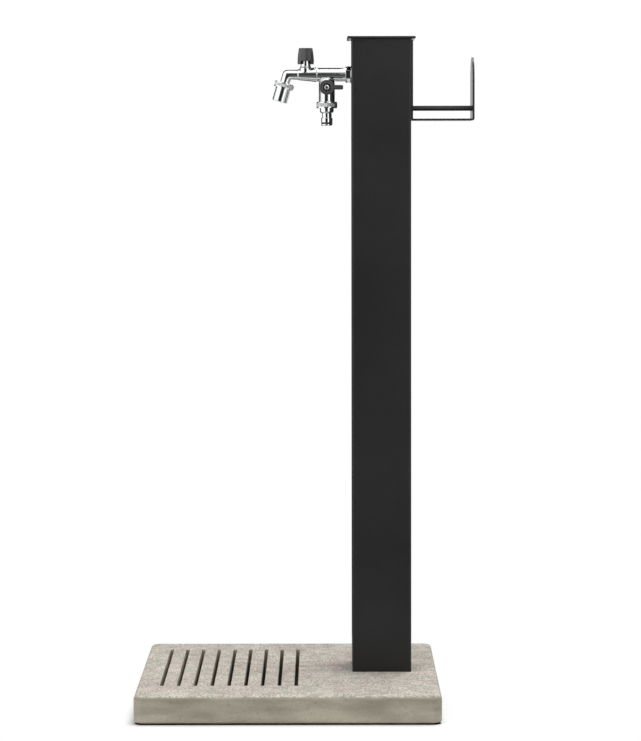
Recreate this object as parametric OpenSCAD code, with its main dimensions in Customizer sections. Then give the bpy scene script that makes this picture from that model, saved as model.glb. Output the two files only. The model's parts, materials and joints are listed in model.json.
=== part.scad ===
// Garden standpipe: a square post on a slotted slab, with a two-way tap and a hose hanger.
// Millimetres, +Z up. The origin is the centre of the slab's underside.
// -X is the tap side, +X the hose hanger side, -Y the front.

/* [Slab] */
// Width of the slab, left to right
slab_w = 450; // [400:5:600]
// Depth of the slab, front to back
slab_d = 450; // [420:5:600]
// Thickness of the slab
slab_h = 42; // [32:1:60]
// Radius of the slab's upright corners
slab_corner_r = 14; // [8:1:30]
// Radius of the slab's top edge
slab_edge_r = 6; // [2:0.5:8]
// Height of the shadow gap under the slab's rim
slab_gap_h = 2.5; // [1:0.5:6]
// Depth of the shadow gap under the slab's rim
slab_gap_d = 10; // [4:1:20]
// Number of drain slots
slot_count = 9; // [3:1:9]
// Distance between drain slots
slot_pitch = 25; // [14:0.5:26]
// Width of a drain slot
slot_w = 5.5; // [5:0.5:10]
// Length of a drain slot
slot_len = 307; // [150:1:320]
// First slot's centre from the slab's left edge
slot_inset = 36.5; // [25:0.5:60]
// Slots' rear end from the slab's rear edge
slot_rear = 58; // [40:1:80]
// Diameter of the supply hole under the post
supply_hole_d = 48; // [46:1:50]

/* [Post] */
// Side of the square post tube
post_w = 90; // [86:1:110]
// Wall of the post tube
post_wall = 2.5; // [2:0.5:4]
// Outside corner radius of the post tube
post_corner_r = 3.5; // [3.5:0.5:8]
// Length of the post tube
post_len = 962; // [600:1:1300]
// Post's right face from the slab's right edge
post_right = 39; // [20:1:60]
// Post's rear face from the slab's rear edge
post_rear = 165; // [100:1:220]
// Overhang of the top cap past the post
cap_over = 6.5; // [5:0.5:12]
// Thickness of the top cap
cap_t = 3.5; // [2.5:0.5:6]
// Depth of the plug under the top cap
plug_h = 16; // [10:1:30]
// Wall of the plug under the top cap
plug_wall = 3; // [2:0.5:5]

/* [Foot] */
// Thickness of the foot plate inside the post
foot_t = 8; // [6:0.5:12]
// Height of the foot's collar above the plate
foot_collar_h = 40; // [30:1:80]
// Wall of the foot's collar
foot_wall = 3; // [2:0.5:5]
// Distance between the foot bolts
bolt_pitch = 56; // [54:1:58]
// Diameter of a foot bolt
bolt_d = 8; // [6:0.5:9]
// Width of a foot bolt's head across its flats
bolt_head_af = 13; // [12:0.5:14]
// Height of a foot bolt's head
bolt_head_h = 5.5; // [4:0.5:7]
// Diameter of a foot bolt's washer
washer_d = 18; // [16:0.5:20]
// Thickness of a foot bolt's washer
washer_t = 1.6; // [1:0.1:2.5]
// Depth of the bolt pockets under the slab
pocket_h = 12; // [10:0.5:16]
// Diameter of the bolt pockets under the slab
pocket_d = 22; // [21:0.5:24]
// Height of the rear post screws above the foot plate
post_screw_h = 22; // [14:1:28]
// Distance between the rear post screws
post_screw_pitch = 44; // [20:1:50]
// Diameter of the post screws and hanger screws
screw_d = 5; // [4:0.5:6]
// Head diameter of a screw
screw_head_d = 9.6; // [8.5:0.1:10.4]
// Length of a screw under its head
screw_len = 11; // [9:0.5:14]

/* [Hose hanger] */
// Reach of the hanger from the post
hanger_reach = 96; // [70:1:140]
// Width of the hanger, front to back
hanger_w = 72; // [64:1:80]
// Sheet thickness of the hanger
sheet_t = 3; // [2.5:0.5:5]
// Inside radius of the hanger's bends
bend_r = 3; // [1.5:0.5:6]
// Hanger's top from the underside of the cap
hanger_drop = 2; // [1:0.5:10]
// Height of the hanger's back plate
hanger_back_h = 121.5; // [110:0.5:160]
// Height of the hanger's upright
hanger_front_h = 96.5; // [85:0.5:105]
// Underside of the saddle's edges above the hanger's bottom
saddle_lift = 15.5; // [10:0.5:30]
// Width of the hose saddle, front to back
saddle_w = 54; // [40:1:60]
// Rise of the hose saddle's arch
saddle_rise = 4.5; // [2:0.5:8]
// Height of the upper hanger screws below the hanger's top
hanger_screw_drop = 22; // [16:1:30]
// Vertical distance between the hanger screws
hanger_screw_rise = 54; // [40:1:56]
// Distance between the hanger screws, front to back
hanger_screw_pitch = 40; // [24:1:46]

/* [Tap body] */
// Tap axis below the top of the post
tap_drop = 53; // [48:1:120]
// Diameter of the tap's barrel
barrel_d = 20.6; // [20:0.1:21.6]
// Bore of the tap's barrel
barrel_bore_d = 13; // [10:0.5:14]
// Diameter of the threaded shank through the post
shank_d = 20.8; // [18:0.1:21]
// Length of the shank inside the post
shank_len = 26; // [24:0.5:28]
// Width of the spanner hexagon across its flats
collar_af = 22; // [21.8:0.1:24]
// Length of the spanner hexagon
collar_len = 7.8; // [6:0.1:10]
// Diameter of the rosette
rosette_d = 27; // [26:0.5:40]
// Thickness of the rosette
rosette_t = 1.2; // [0.8:0.1:2]
// Knob axis from the post's face
knob_out = 69.5; // [66:0.5:80]
// Largest diameter of the valve chamber
chamber_d = 22.4; // [22:0.1:24]
// Length of the chamber behind the knob axis
chamber_back = 16.5; // [14:0.5:18]
// Length of the chamber in front of the knob axis
chamber_front = 13; // [12.5:0.5:16]
// Diameter of the chamber at the spout
chamber_end_d = 17; // [16.6:0.1:18]
// Height of the bonnet boss above the tap axis
boss_top = 10.5; // [10:0.1:12]
// Diameter of the bonnet boss
boss_d = 18.4; // [18:0.1:20]
// Diameter of the valve seat's hole
seat_d = 7; // [5:0.5:8]

/* [Bonnet and knob] */
// Bore of the valve chamber for the bonnet
bonnet_bore_d = 15; // [14.6:0.1:16]
// Diameter of the bonnet's neck
neck_d = 15.4; // [14.8:0.1:16]
// Top of the bonnet's neck above the tap axis
neck_top = 24.5; // [23.5:0.1:26]
// Diameter of the bonnet's flange
bonnet_flange_d = 17.2; // [16.8:0.1:18]
// Thickness of the bonnet's flange
bonnet_flange_t = 1.4; // [1:0.1:2]
// Thickness of the seal under the bonnet
bonnet_seal_t = 0.8; // [0.5:0.1:1]
// Diameter of the spindle
spindle_d = 7; // [6:0.1:7.4]
// Diameter of the spindle's screw
spindle_screw_d = 5.8; // [5:0.1:6]
// Width of the plunger's hexagon across its flats
plunger_af = 9.4; // [9:0.1:9.6]
// Diameter of the plunger's disc
plunger_disc_d = 11; // [10:0.1:11.4]
// Thickness of the plunger's rubber washer
plunger_washer_t = 2.1; // [1.5:0.1:2.2]
// Lift of the plunger from shut to open
plunger_lift = 3; // [2:0.1:3]
// Bottom of the knob above the tap axis
knob_bottom = 15.9; // [15:0.1:18]
// Height of the knob
knob_h = 24.4; // [22:0.1:30]
// Largest diameter of the knob
knob_d = 28; // [27:0.1:30]
// Height of the knob's widest place above its bottom
knob_waist = 8.4; // [6:0.1:10]
// Radius of the knob's barrelled side
knob_side_r = 52; // [45:1:80]
// Radius of the knob's skirt, below its widest place
knob_skirt_r = 28; // [24:1:60]
// Number of lobes round the knob
knob_lobes = 4; // [3:1:6]
// Radius of a knob flute
flute_r = 20; // [14:0.5:24]
// Depth of a knob flute at the knob's widest place
flute_depth = 2.8; // [1.5:0.1:3]
// Lean of a knob flute, in degrees
flute_lean = 6; // [2:0.5:7]
// Height of the notches in the knob's rim
notch_h = 4.7; // [3:0.1:6]
// Width of the notches in the knob's rim
notch_w = 14.8; // [10:0.1:16]
// Radius of the notches' corners
notch_corner_r = 1.6; // [1:0.1:2.5]
// Diameter of the cover on the knob's top
cover_d = 13; // [11:0.1:14]
// Thickness of the cover on the knob's top
cover_t = 1.8; // [1.2:0.1:2.2]

/* [Spout] */
// Meeting point of the spout's two axes from the post's face
spout_out = 97.6; // [96:0.1:110]
// Lean of the spout's leg from upright, in degrees
spout_lean = 16; // [0:0.5:25]
// Outside diameter of the spout tube
spout_d = 15; // [13:0.1:15]
// Bore of the spout tube
spout_bore_d = 9.6; // [8:0.1:10]
// Diameter of the spout's spigot in the chamber
spigot_d = 11; // [10.4:0.1:11.4]
// Length of the spout's spigot in the chamber
spigot_len = 6; // [5:0.1:7]
// Top of the spout nut along the leg
spout_nut_start = 13.1; // [13:0.1:16]
// Diameter of the spout nut
spout_nut_d = 30; // [28.5:0.1:34]
// Height of the spout nut
spout_nut_h = 8.5; // [8:0.1:12]
// Diameter of the thread under the spout nut
spout_thread_d = 25.6; // [25.2:0.1:26]
// Outside diameter of the outlet sleeve
sleeve_d = 23.4; // [22:0.1:23.6]
// Bore of the outlet sleeve
sleeve_bore_d = 20; // [18:0.1:20.6]
// Length of the outlet sleeve below its nut
sleeve_len = 21; // [14:0.5:30]
// Thickness of the jet insert
insert_t = 5; // [3:0.5:8]
// Depth of the jet insert inside the sleeve's mouth
insert_depth = 4.5; // [4.5:0.5:6]

/* [Hose valve] */
// Hose valve's axis from the post's face
valve_out = 37.4; // [34:0.1:40]
// Diameter of the hose valve's body
valve_d = 24.7; // [24:0.1:26]
// Lever axis below the tap axis
lever_drop = 19.7; // [18:0.1:20]
// Centre of the valve's domed top below the tap axis
valve_shoulder = 14; // [10:0.5:15]
// End of the valve's plain body below the tap axis
valve_len = 41.5; // [40:0.1:46]
// Diameter of the ball
ball_d = 15; // [14:0.1:15.2]
// Bore of the ball
ball_bore_d = 9; // [7:0.1:9.4]
// Bore of the ball's chamber
ball_chamber_d = 17; // [16.6:0.1:17.6]
// Thickness of a ball seat
ball_seat_t = 4; // [3:0.1:4.2]
// Distance from the ball's centre to the face of a seat
ball_seat_in = 5.5; // [5:0.1:6]
// Height of the ring that holds the seats
seat_ring_h = 5.5; // [4:0.1:7]
// Diameter of the stem
stem_d = 7; // [6:0.1:7.4]
// Diameter of the stem's packing chamber
packing_d = 10; // [9.6:0.1:11]
// Diameter of the stem's boss
stem_boss_d = 20; // [18:0.1:22]
// Diameter of the lever's hub
hub_d = 22.8; // [20:0.1:26]
// Thickness of the lever
lever_t = 5.4; // [4.5:0.1:8]
// Reach of the lever from its axis
lever_len = 24.8; // [20:0.1:26]
// Height of the lever's arm
lever_arm_h = 7; // [4:0.1:8]
// Diameter of the recess in the lever's hub
hub_recess_d = 12; // [10:0.1:14]
// Depth of the recess in the lever's hub
hub_recess_h = 2.4; // [1.5:0.1:2.8]
// Diameter of the lever screw's head
lever_screw_d = 8; // [7:0.1:9]

/* [Hose plug] */
// Diameter of the hose nut
hose_nut_d = 31.7; // [30:0.1:34]
// Height of the hose nut
hose_nut_h = 9.5; // [9:0.1:14]
// Diameter of the thread under the hose nut
hose_thread_d = 26.2; // [26:0.1:27]
// Length of the thread under the hose nut
hose_thread_len = 4.5; // [4:0.1:5]
// Diameter of the plug's collar
plug_collar_d = 21.3; // [20:0.1:22]
// Length of the plug's collar below the nut
plug_collar_len = 6; // [4:0.1:10]
// Diameter of the plug's neck
plug_neck_d = 15; // [14:0.1:15.6]
// Length of the plug's neck
plug_neck_len = 8.6; // [6:0.1:12]
// Diameter of the plug's ring
plug_ring_d = 17.6; // [17:0.1:18]
// Length of the plug's ring
plug_ring_len = 7; // [5:0.1:9]
// Length of the plug's nose
plug_nose_len = 2.6; // [2:0.1:4]
// Bore of the plug
plug_bore_d = 9; // [7:0.1:10]
// Thickness of the plug's sealing ring
oring_d = 2.4; // [2:0.1:2.6]
// Number of ridges round a knurled nut
knurl_count = 36; // [24:1:40]
// Depth of the knurl
knurl_depth = 0.5; // [0.3:0.05:0.6]

/* [Supply] */
// Outside diameter of the riser pipe
riser_d = 15; // [12:0.5:16]
// Wall of the riser pipe
riser_wall = 1; // [0.8:0.1:2]
// Diameter of the inlet's female thread
inlet_bore_d = 20.8; // [18:0.1:21]
// Depth of the inlet's female thread
inlet_bore_h = 15; // [12:0.5:16]
// Diameter of the inlet's body
inlet_d = 26.4; // [26:0.1:28]
// Diameter of the inlet's flange
inlet_flange_d = 36; // [34:0.5:40]
// Thickness of the inlet's flange
inlet_flange_t = 5; // [4:0.5:8]
// Width of the inlet's lock nut across its flats
inlet_nut_af = 34; // [32:0.5:36]
// Thickness of the inlet's lock nut
inlet_nut_t = 7; // [5:0.5:9]
// Diameter of a pipe fitting's thread
joint_thread_d = 21; // [20:0.1:22]
// Length of a pipe fitting's thread
joint_thread_len = 9; // [7:0.5:12]
// Width of a riser nut across its flats
riser_nut_af = 25; // [24:0.5:27]
// Height of a riser nut
riser_nut_h = 14; // [12:0.5:18]
// Length of an olive
olive_h = 3.5; // [2.5:0.1:4]
// Diameter of the wall elbow
elbow_d = 28; // [26:0.5:30]
// Thickness of the shank's seal
shank_seal_t = 2; // [1:0.1:3]
// Width of the shank's nut across its flats
shank_nut_af = 28; // [26:0.5:32]
// Thickness of the shank's nut
shank_nut_t = 7; // [5:0.5:8]

/* [Clearances] */
// Side clearance of pieces that are screwed or pushed together
fit_gap = 0.1; // [0.05:0.01:0.2]
// Side clearance of pieces that turn or slide
run_gap = 0.05; // [0.02:0.01:0.1]
// Gap between pieces that move past each other
pass_gap = 0.5; // [0.4:0.05:1]
// Side clearance of the foot and the cap's plug in the post
post_gap = 0.3; // [0.2:0.05:0.5]

/* [Hidden] */
$fn = 64;

anthracite = "#34383b";
chrome = "#c8ccd0";
concrete = "#aaa598";
dark_plastic = "#3b3d40";
rubber = "#1e1f20";
brass = "#b8954e";
steel = "#9a9da0";
white_plastic = "#e6e4de";

// Overcut of every cutting shape
cut = 1;

// Where the post stands
post_x = slab_w/2 - post_right - post_w/2;
post_y = slab_d/2 - post_rear - post_w/2;
post_in_w = post_w - 2*post_wall;
post_in_r = max(post_corner_r - post_wall, 1);
post_top = slab_h + post_len;
plug_w = post_in_w - 2*post_gap;
plug_r = post_in_r;
cap_w = post_w + 2*cap_over;
cap_corner_r = 2;

// Foot
foot_top = slab_h + foot_t;
washer_bottom = pocket_h - washer_t;
bolt_room = 1;
bolt_hole_d = bolt_d + bolt_room;
bolt_proud = 2;
socket_af = 3;
rivet_wall = 1.2;
rivet_swell = 1.3;
rivet_d = screw_d + 2*rivet_wall;
rivet_bulge_d = rivet_d + 2*rivet_swell;
rivet_bulge_h = 5;
head_cone_h = (screw_head_d - screw_d)/2;

// Hanger
hanger_top = post_top - hanger_drop;
hanger_base = hanger_top - hanger_back_h;
hanger_front_top = hanger_base + hanger_front_h;
saddle_len = hanger_reach - 2*sheet_t;
saddle_base = hanger_base + saddle_lift;
saddle_r = (pow(saddle_w/2, 2) + pow(saddle_rise, 2))/(2*saddle_rise);

// Tap, measured from the post's left face along -X and from the tap axis along Z
tap_z = post_top - tap_drop;
collar_start = rosette_t;
collar_end = rosette_t + collar_len;
chamber_start = knob_out - chamber_back;
chamber_end = knob_out + chamber_front;
bonnet_base = boss_top + bonnet_seal_t;
bonnet_skirt_len = 6;
bonnet_skirt = boss_top - bonnet_skirt_len;
disc_room_d = plunger_disc_d + 2*pass_gap;
disc_t = 1.3;
disc_bottom = plunger_washer_t + run_gap;
disc_room_top = disc_bottom + disc_t + plunger_lift + pass_gap;
guide_len = 6.6;
guide_top = disc_room_top + guide_len;
guide_af = plunger_af + 2*fit_gap;
spindle_collar_t = 1.4;
spindle_collar_ease = 0.2;
spindle_collar_d = plunger_af - 2*spindle_collar_ease;
spindle_oring_d = 1.8;
spindle_oring_room = spindle_oring_d + 4*fit_gap;
spindle_collar_base = guide_top - run_gap - spindle_collar_t;
plunger_top = spindle_collar_base - plunger_lift - pass_gap;
screw_end = disc_bottom + disc_t + plunger_lift + pass_gap;
knob_top = knob_bottom + knob_h;
knob_web = neck_top + pass_gap;
cover_bottom = knob_top - cover_t;
knob_screw_head_d = cover_d - 4;
knob_screw_head_h = 2.6;
knob_pocket = cover_bottom - knob_screw_head_h - pass_gap;
small_screw_d = 3.2;
small_screw_len = 7;
small_screw_room = 1;
passage_d = 7;
seat_t = 1;
passage_z = -passage_d/2 - seat_t;
chamber_lap = 3;
spigot_wall = 2;
spout_oring_d = 1;
corner_swell = 0.15;

// Spout, measured along its leg from the meeting point of its two axes
nut_lip = 1.6;
nut_rim = 1.2;
nut_rim_step = 0.2;
nut_top_room = 0.8;
flange_ease = 0.2;
seal_ease = 0.4;
throat_wall = 2;
sleeve_neck_step = 0.3;
sleeve_relief = 0.8;
spout_thread_start = spout_nut_start + nut_top_room;
spout_seal_t = 1.4;
spout_flange_t = 1.2;
spout_nut_end = spout_nut_start + spout_nut_h;
spout_flange_end = spout_nut_end - nut_lip;
spout_seal_end = spout_flange_end - spout_flange_t;
spout_end = spout_seal_end - spout_seal_t;
sleeve_end = spout_nut_end + sleeve_len;

// Hose valve
lever_back = hose_nut_d/2 + pass_gap;
boss_face = lever_back - pass_gap;
lever_front = lever_back + lever_t;
recess_floor = lever_front - hub_recess_h;
packing_wall = 2.4;
packing_in = ball_chamber_d/2 + packing_wall;
stem_shoulder_t = 1.4;
stem_seal_t = 1.4;
tang_t = 2.6;
tang_len = 2.4;
tang_w = 5.6;
lever_screw_set = 0.3;
ball_z = -lever_drop;
seat_top = ball_z + ball_seat_in + ball_seat_t;
seat_low = ball_z - ball_seat_in - ball_seat_t;
seat_ring_end = seat_low - seat_ring_h;
hose_nut_top = -valve_len;
hose_end = hose_nut_top - hose_thread_len;
hose_nut_end = hose_nut_top - hose_nut_h;
hose_flange_end = hose_nut_end + nut_lip;
hose_flange_t = 1.4;
hose_seal_end = hose_flange_end + hose_flange_t;
plug_shoulder = 2.2;
plug_collar_end = hose_nut_end - plug_collar_len;
plug_neck_end = plug_collar_end - plug_neck_len;
plug_ring_end = plug_neck_end - plug_ring_len;
oring_room = oring_d + 2*fit_gap;
plug_groove_end = plug_ring_end - oring_room;
plug_nose_end = plug_groove_end - plug_nose_len;
plug_groove_d = plug_ring_d - 2*oring_d - 2*fit_gap;
plug_bevel = 0.6;

// Supply, measured from the floor
inlet_flange_low = slab_h - inlet_flange_t;
inlet_low = inlet_flange_low - inlet_bore_h + inlet_flange_t;
inlet_nut_top = foot_top + inlet_nut_t;
inlet_shoulder = 3;
inlet_joint_top = inlet_nut_top + inlet_shoulder + joint_thread_len;
socket_depth = 11;
shank_nut_start = post_wall + shank_seal_t;
elbow_room = 1;
elbow_face = shank_nut_start + shank_nut_t + elbow_room;
elbow_shoulder = 2;
elbow_joint_low = -elbow_d/2 - elbow_shoulder - joint_thread_len;
olive_in = 1;
riser_low = inlet_joint_top - socket_depth;
riser_high = tap_z + elbow_joint_low + socket_depth;

// Plain outlines
module rounded_square(w, d, r) {
    square([w - 2*r, d], center = true);
    square([w, d - 2*r], center = true);
    for (sx = [-1, 1], sy = [-1, 1])
        translate([sx*(w/2 - r), sy*(d/2 - r)])
            circle(r);
}

module ring(h, d, bore) {
    difference() {
        cylinder(h = h, d = d);
        translate([0, 0, -cut])
            cylinder(h = h + 2*cut, d = bore);
    }
}

module hexagon(h, af) {
    cylinder(h = h, d = af/cos(30), $fn = 6);
}

module hex_nut(h, af, bore) {
    difference() {
        hexagon(h, af);
        translate([0, 0, -cut])
            cylinder(h = h + 2*cut, d = bore);
    }
}

function knurl_outline(d) = [
    for (i = [0 : 2*knurl_count - 1])
        let (r = d/2 - (i % 2)*knurl_depth, a = 180*i/knurl_count)
            [r*cos(a), r*sin(a)]
];

// Union nut standing on its lip, with plain rims above and below the knurl
module knurled_nut(h, d, thread, lip_bore) {
    difference() {
        union() {
            translate([0, 0, nut_rim])
                linear_extrude(h - 2*nut_rim)
                    polygon(knurl_outline(d));
            cylinder(h = h, d = d - 2*knurl_depth - 2*nut_rim_step);
        }
        translate([0, 0, nut_lip])
            cylinder(h = h, d = thread + 2*fit_gap);
        translate([0, 0, -cut])
            cylinder(h = h, d = lip_bore);
    }
}

module sealing_ring(mid_d, thickness) {
    rotate_extrude()
        translate([mid_d/2, 0])
            circle(d = thickness, $fn = 32);
}

// Places
module at_post() {
    translate([post_x, post_y, 0])
        children();
}

module at_bolts() {
    at_post()
        for (sx = [-1, 1], sy = [-1, 1])
            translate([sx*bolt_pitch/2, sy*bolt_pitch/2, 0])
                children();
}

module at_post_screws() {
    at_post()
        for (sx = [-1, 1])
            translate([sx*post_screw_pitch/2, post_w/2, foot_top + post_screw_h])
                rotate([90, 0, 0])
                    children();
}

module at_hanger_screws() {
    at_post()
        for (sy = [-1, 1], row = [0, 1])
            translate([
                post_w/2, sy*hanger_screw_pitch/2,
                hanger_top - hanger_screw_drop - row*hanger_screw_rise
            ])
                rotate([0, -90, 0])
                    children();
}

// Origin at the post's left face on the tap axis
module at_tap() {
    translate([post_x - post_w/2, post_y, tap_z])
        children();
}

// Along -X from the post's face
module along_barrel(start) {
    translate([-start, 0, 0])
        rotate([0, -90, 0])
            children();
}

module at_knob() {
    at_tap()
        translate([-knob_out, 0, 0])
            children();
}

module at_valve() {
    at_tap()
        translate([-valve_out, 0, 0])
            children();
}

// Along -Y from the hose valve's axis
module along_stem(start) {
    translate([0, -start, ball_z])
        rotate([90, 0, 0])
            children();
}

// Down the spout's leg from the meeting point of its axes
module along_leg(start) {
    at_tap()
        translate([-spout_out, 0, 0])
            rotate([0, 180 + spout_lean, 0])
                translate([0, 0, start])
                    children();
}

// Post and slab
module slab_corner() {
    rotate_extrude($fn = 32) {
        translate([0, slab_gap_h]) {
            square([slab_corner_r, slab_h - slab_edge_r - slab_gap_h]);
            square([slab_corner_r - slab_edge_r, slab_h - slab_gap_h]);
        }
        translate([slab_corner_r - slab_edge_r, slab_h - slab_edge_r])
            circle(slab_edge_r);
    }
}

module base_slab() {
    color(concrete)
        difference() {
            union() {
                hull()
                    for (sx = [-1, 1], sy = [-1, 1])
                        translate([sx*(slab_w/2 - slab_corner_r), sy*(slab_d/2 - slab_corner_r), 0])
                            slab_corner();
                linear_extrude(slab_h/2)
                    rounded_square(slab_w - 2*slab_gap_d, slab_d - 2*slab_gap_d, slab_corner_r);
            }
            for (i = [0 : slot_count - 1])
                translate([
                    -slab_w/2 + slot_inset + i*slot_pitch - slot_w/2,
                    slab_d/2 - slot_rear - slot_len, -cut
                ])
                    cube([slot_w, slot_len, slab_h + 2*cut]);
            at_post()
                translate([0, 0, -cut])
                    cylinder(h = slab_h + 2*cut, d = supply_hole_d);
            at_bolts() {
                translate([0, 0, -cut])
                    cylinder(h = slab_h + 2*cut, d = bolt_hole_d);
                translate([0, 0, -cut])
                    cylinder(h = pocket_h + cut, d = pocket_d);
            }
        }
}

module foot_plate() {
    color(steel)
        difference() {
            at_post()
                translate([0, 0, slab_h])
                    difference() {
                        linear_extrude(foot_t + foot_collar_h)
                            rounded_square(plug_w, plug_w, plug_r);
                        translate([0, 0, foot_t])
                            linear_extrude(foot_collar_h + cut)
                                square(plug_w - 2*foot_wall, center = true);
                        translate([0, 0, -cut])
                            cylinder(h = foot_t + 2*cut, d = inlet_d + 2*fit_gap);
                    }
            at_bolts()
                translate([0, 0, slab_h - cut])
                    cylinder(h = foot_t + 2*cut, d = bolt_d + 2*fit_gap);
            at_post_screws()
                cylinder(h = post_wall + post_gap + foot_wall + cut, d = screw_d + 2*fit_gap);
        }
}

module foot_bolts() {
    color(steel)
        at_bolts() {
            translate([0, 0, washer_bottom - bolt_head_h])
                hexagon(bolt_head_h, bolt_head_af);
            translate([0, 0, washer_bottom])
                cylinder(h = foot_top - washer_bottom + bolt_proud, d = bolt_d);
        }
}

module foot_washers() {
    color(steel)
        at_bolts()
            translate([0, 0, washer_bottom])
                ring(washer_t, washer_d, bolt_d + 2*fit_gap);
}

module post_tube() {
    color(anthracite)
        difference() {
            at_post()
                translate([0, 0, slab_h])
                    linear_extrude(post_len)
                        difference() {
                            rounded_square(post_w, post_w, post_corner_r);
                            rounded_square(post_in_w, post_in_w, post_in_r);
                        }
            at_tap()
                translate([-cut, 0, 0])
                    rotate([0, 90, 0])
                        cylinder(h = post_wall + 2*cut, d = shank_d + 2*fit_gap);
            at_post_screws()
                translate([0, 0, -cut])
                    cylinder(h = post_wall + 2*cut, d = screw_d + 2*fit_gap);
            at_hanger_screws()
                translate([0, 0, -cut])
                    cylinder(h = post_wall + 2*cut, d = rivet_d + 2*fit_gap);
        }
}

module post_screws() {
    head_h = 2.6;
    color(steel)
        at_post_screws() {
            cylinder(h = screw_len, d = screw_d);
            difference() {
                translate([0, 0, -head_h])
                    cylinder(h = head_h, d1 = screw_head_d - head_h, d2 = screw_head_d);
                translate([0, 0, -head_h - cut])
                    hexagon(head_h/2 + cut, socket_af);
            }
        }
}

module top_cap() {
    color(anthracite)
        at_post()
            translate([0, 0, post_top])
                linear_extrude(cap_t)
                    rounded_square(cap_w, cap_w, cap_corner_r);
}

module cap_plug() {
    color(rubber)
        at_post()
            translate([0, 0, post_top - plug_h])
                difference() {
                    linear_extrude(plug_h)
                        rounded_square(plug_w, plug_w, plug_r);
                    translate([0, 0, -cut])
                        linear_extrude(plug_h - plug_wall + cut)
                            square(plug_w - 2*plug_wall, center = true);
                }
}

// Hose hanger
module bracket_outline() {
    difference() {
        union() {
            translate([0, bend_r + sheet_t])
                square([hanger_reach, hanger_back_h - bend_r - sheet_t]);
            translate([bend_r + sheet_t, 0])
                square([hanger_reach - 2*(bend_r + sheet_t), bend_r + 2*sheet_t]);
            for (x = [bend_r + sheet_t, hanger_reach - bend_r - sheet_t])
                translate([x, bend_r + sheet_t])
                    circle(bend_r + sheet_t);
        }
        translate([sheet_t, sheet_t + bend_r])
            square([saddle_len, hanger_back_h]);
        translate([sheet_t + bend_r, sheet_t])
            square([saddle_len - 2*bend_r, hanger_back_h]);
        for (x = [bend_r + sheet_t, hanger_reach - bend_r - sheet_t])
            translate([x, bend_r + sheet_t])
                circle(bend_r);
        translate([hanger_reach/2, hanger_front_h])
            square([hanger_reach, hanger_back_h]);
    }
}

module hanger_bracket() {
    round_z = hanger_front_top - hanger_w/2;
    color(anthracite)
        difference() {
            at_post()
                translate([post_w/2, hanger_w/2, hanger_base])
                    rotate([90, 0, 0])
                        linear_extrude(hanger_w)
                            bracket_outline();
            at_post()
                translate([post_w/2 + hanger_reach/2, 0, round_z])
                    difference() {
                        translate([0, -hanger_w, 0])
                            cube([hanger_reach, 2*hanger_w, hanger_w]);
                        translate([-cut, 0, 0])
                            rotate([0, 90, 0])
                                cylinder(h = hanger_reach + 2*cut, d = hanger_w);
                    }
            at_hanger_screws()
                translate([0, 0, -sheet_t - cut]) {
                    cylinder(h = sheet_t + 2*cut, d = screw_d + 2*fit_gap);
                    cylinder(
                        h = head_cone_h + cut, d1 = screw_head_d + 2*fit_gap + 2*cut,
                        d2 = screw_d + 2*fit_gap
                    );
                }
        }
}

module hose_saddle() {
    color(anthracite)
        at_post()
            translate([post_w/2 + sheet_t, 0, saddle_base + saddle_rise - saddle_r])
                rotate([90, 0, 90])
                    linear_extrude(saddle_len)
                        intersection() {
                            difference() {
                                circle(saddle_r + sheet_t);
                                circle(saddle_r);
                            }
                            translate([-saddle_w/2, 0])
                                square([saddle_w, 2*saddle_r]);
                        }
}

module hanger_screws() {
    color(steel)
        at_hanger_screws()
            translate([0, 0, -sheet_t])
                difference() {
                    union() {
                        cylinder(h = screw_len, d = screw_d);
                        cylinder(h = head_cone_h, d1 = screw_head_d, d2 = screw_d);
                    }
                    translate([0, 0, -cut])
                        hexagon(head_cone_h/2 + cut, socket_af);
                }
}

module hanger_rivet_nuts() {
    color(steel)
        at_hanger_screws()
            difference() {
                union() {
                    cylinder(h = post_wall + rivet_bulge_h, d = rivet_d);
                    translate([0, 0, post_wall])
                        cylinder(h = rivet_bulge_h, d = rivet_bulge_d);
                }
                translate([0, 0, -cut])
                    cylinder(h = post_wall + rivet_bulge_h + 2*cut, d = screw_d + 2*fit_gap);
            }
}

// Supply inside the post
module inlet_fitting() {
    color(brass)
        at_post()
            difference() {
                union() {
                    translate([0, 0, inlet_low])
                        cylinder(h = inlet_nut_top - inlet_low, d = inlet_d);
                    translate([0, 0, inlet_flange_low])
                        cylinder(h = inlet_flange_t, d = inlet_flange_d);
                    translate([0, 0, inlet_nut_top])
                        cylinder(h = inlet_joint_top - inlet_nut_top, d = joint_thread_d);
                }
                translate([0, 0, inlet_low - cut])
                    cylinder(h = inlet_bore_h + cut, d = inlet_bore_d);
                translate([0, 0, inlet_low])
                    cylinder(h = inlet_joint_top, d = riser_d - 2*riser_wall);
                translate([0, 0, riser_low])
                    cylinder(h = socket_depth + cut, d = riser_d + 2*fit_gap);
            }
}

module inlet_nut() {
    color(brass)
        at_post()
            translate([0, 0, foot_top])
                hex_nut(inlet_nut_t, inlet_nut_af, inlet_d + 2*fit_gap);
}

module riser_pipe() {
    color(steel)
        at_post()
            translate([0, 0, riser_low])
                ring(riser_high - riser_low, riser_d, riser_d - 2*riser_wall);
}

// Nut and olive of a pipe joint, drawn upwards from the end of the fitting
module riser_nut() {
    difference() {
        translate([0, 0, olive_h + nut_lip - riser_nut_h])
            hexagon(riser_nut_h, riser_nut_af);
        translate([0, 0, olive_h - riser_nut_h - cut])
            cylinder(h = riser_nut_h + cut, d = joint_thread_d + 2*fit_gap);
        cylinder(h = riser_nut_h, d = riser_d + 2*fit_gap);
    }
}

module at_riser_joints() {
    at_post() {
        translate([0, 0, inlet_joint_top])
            children();
        translate([0, 0, tap_z + elbow_joint_low])
            mirror([0, 0, 1])
                children();
    }
}

module riser_nuts() {
    color(brass)
        at_riser_joints()
            riser_nut();
}

module riser_olives() {
    color(brass)
        at_riser_joints()
            ring(olive_h, joint_thread_d - 2*olive_in, riser_d + 2*fit_gap);
}

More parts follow.
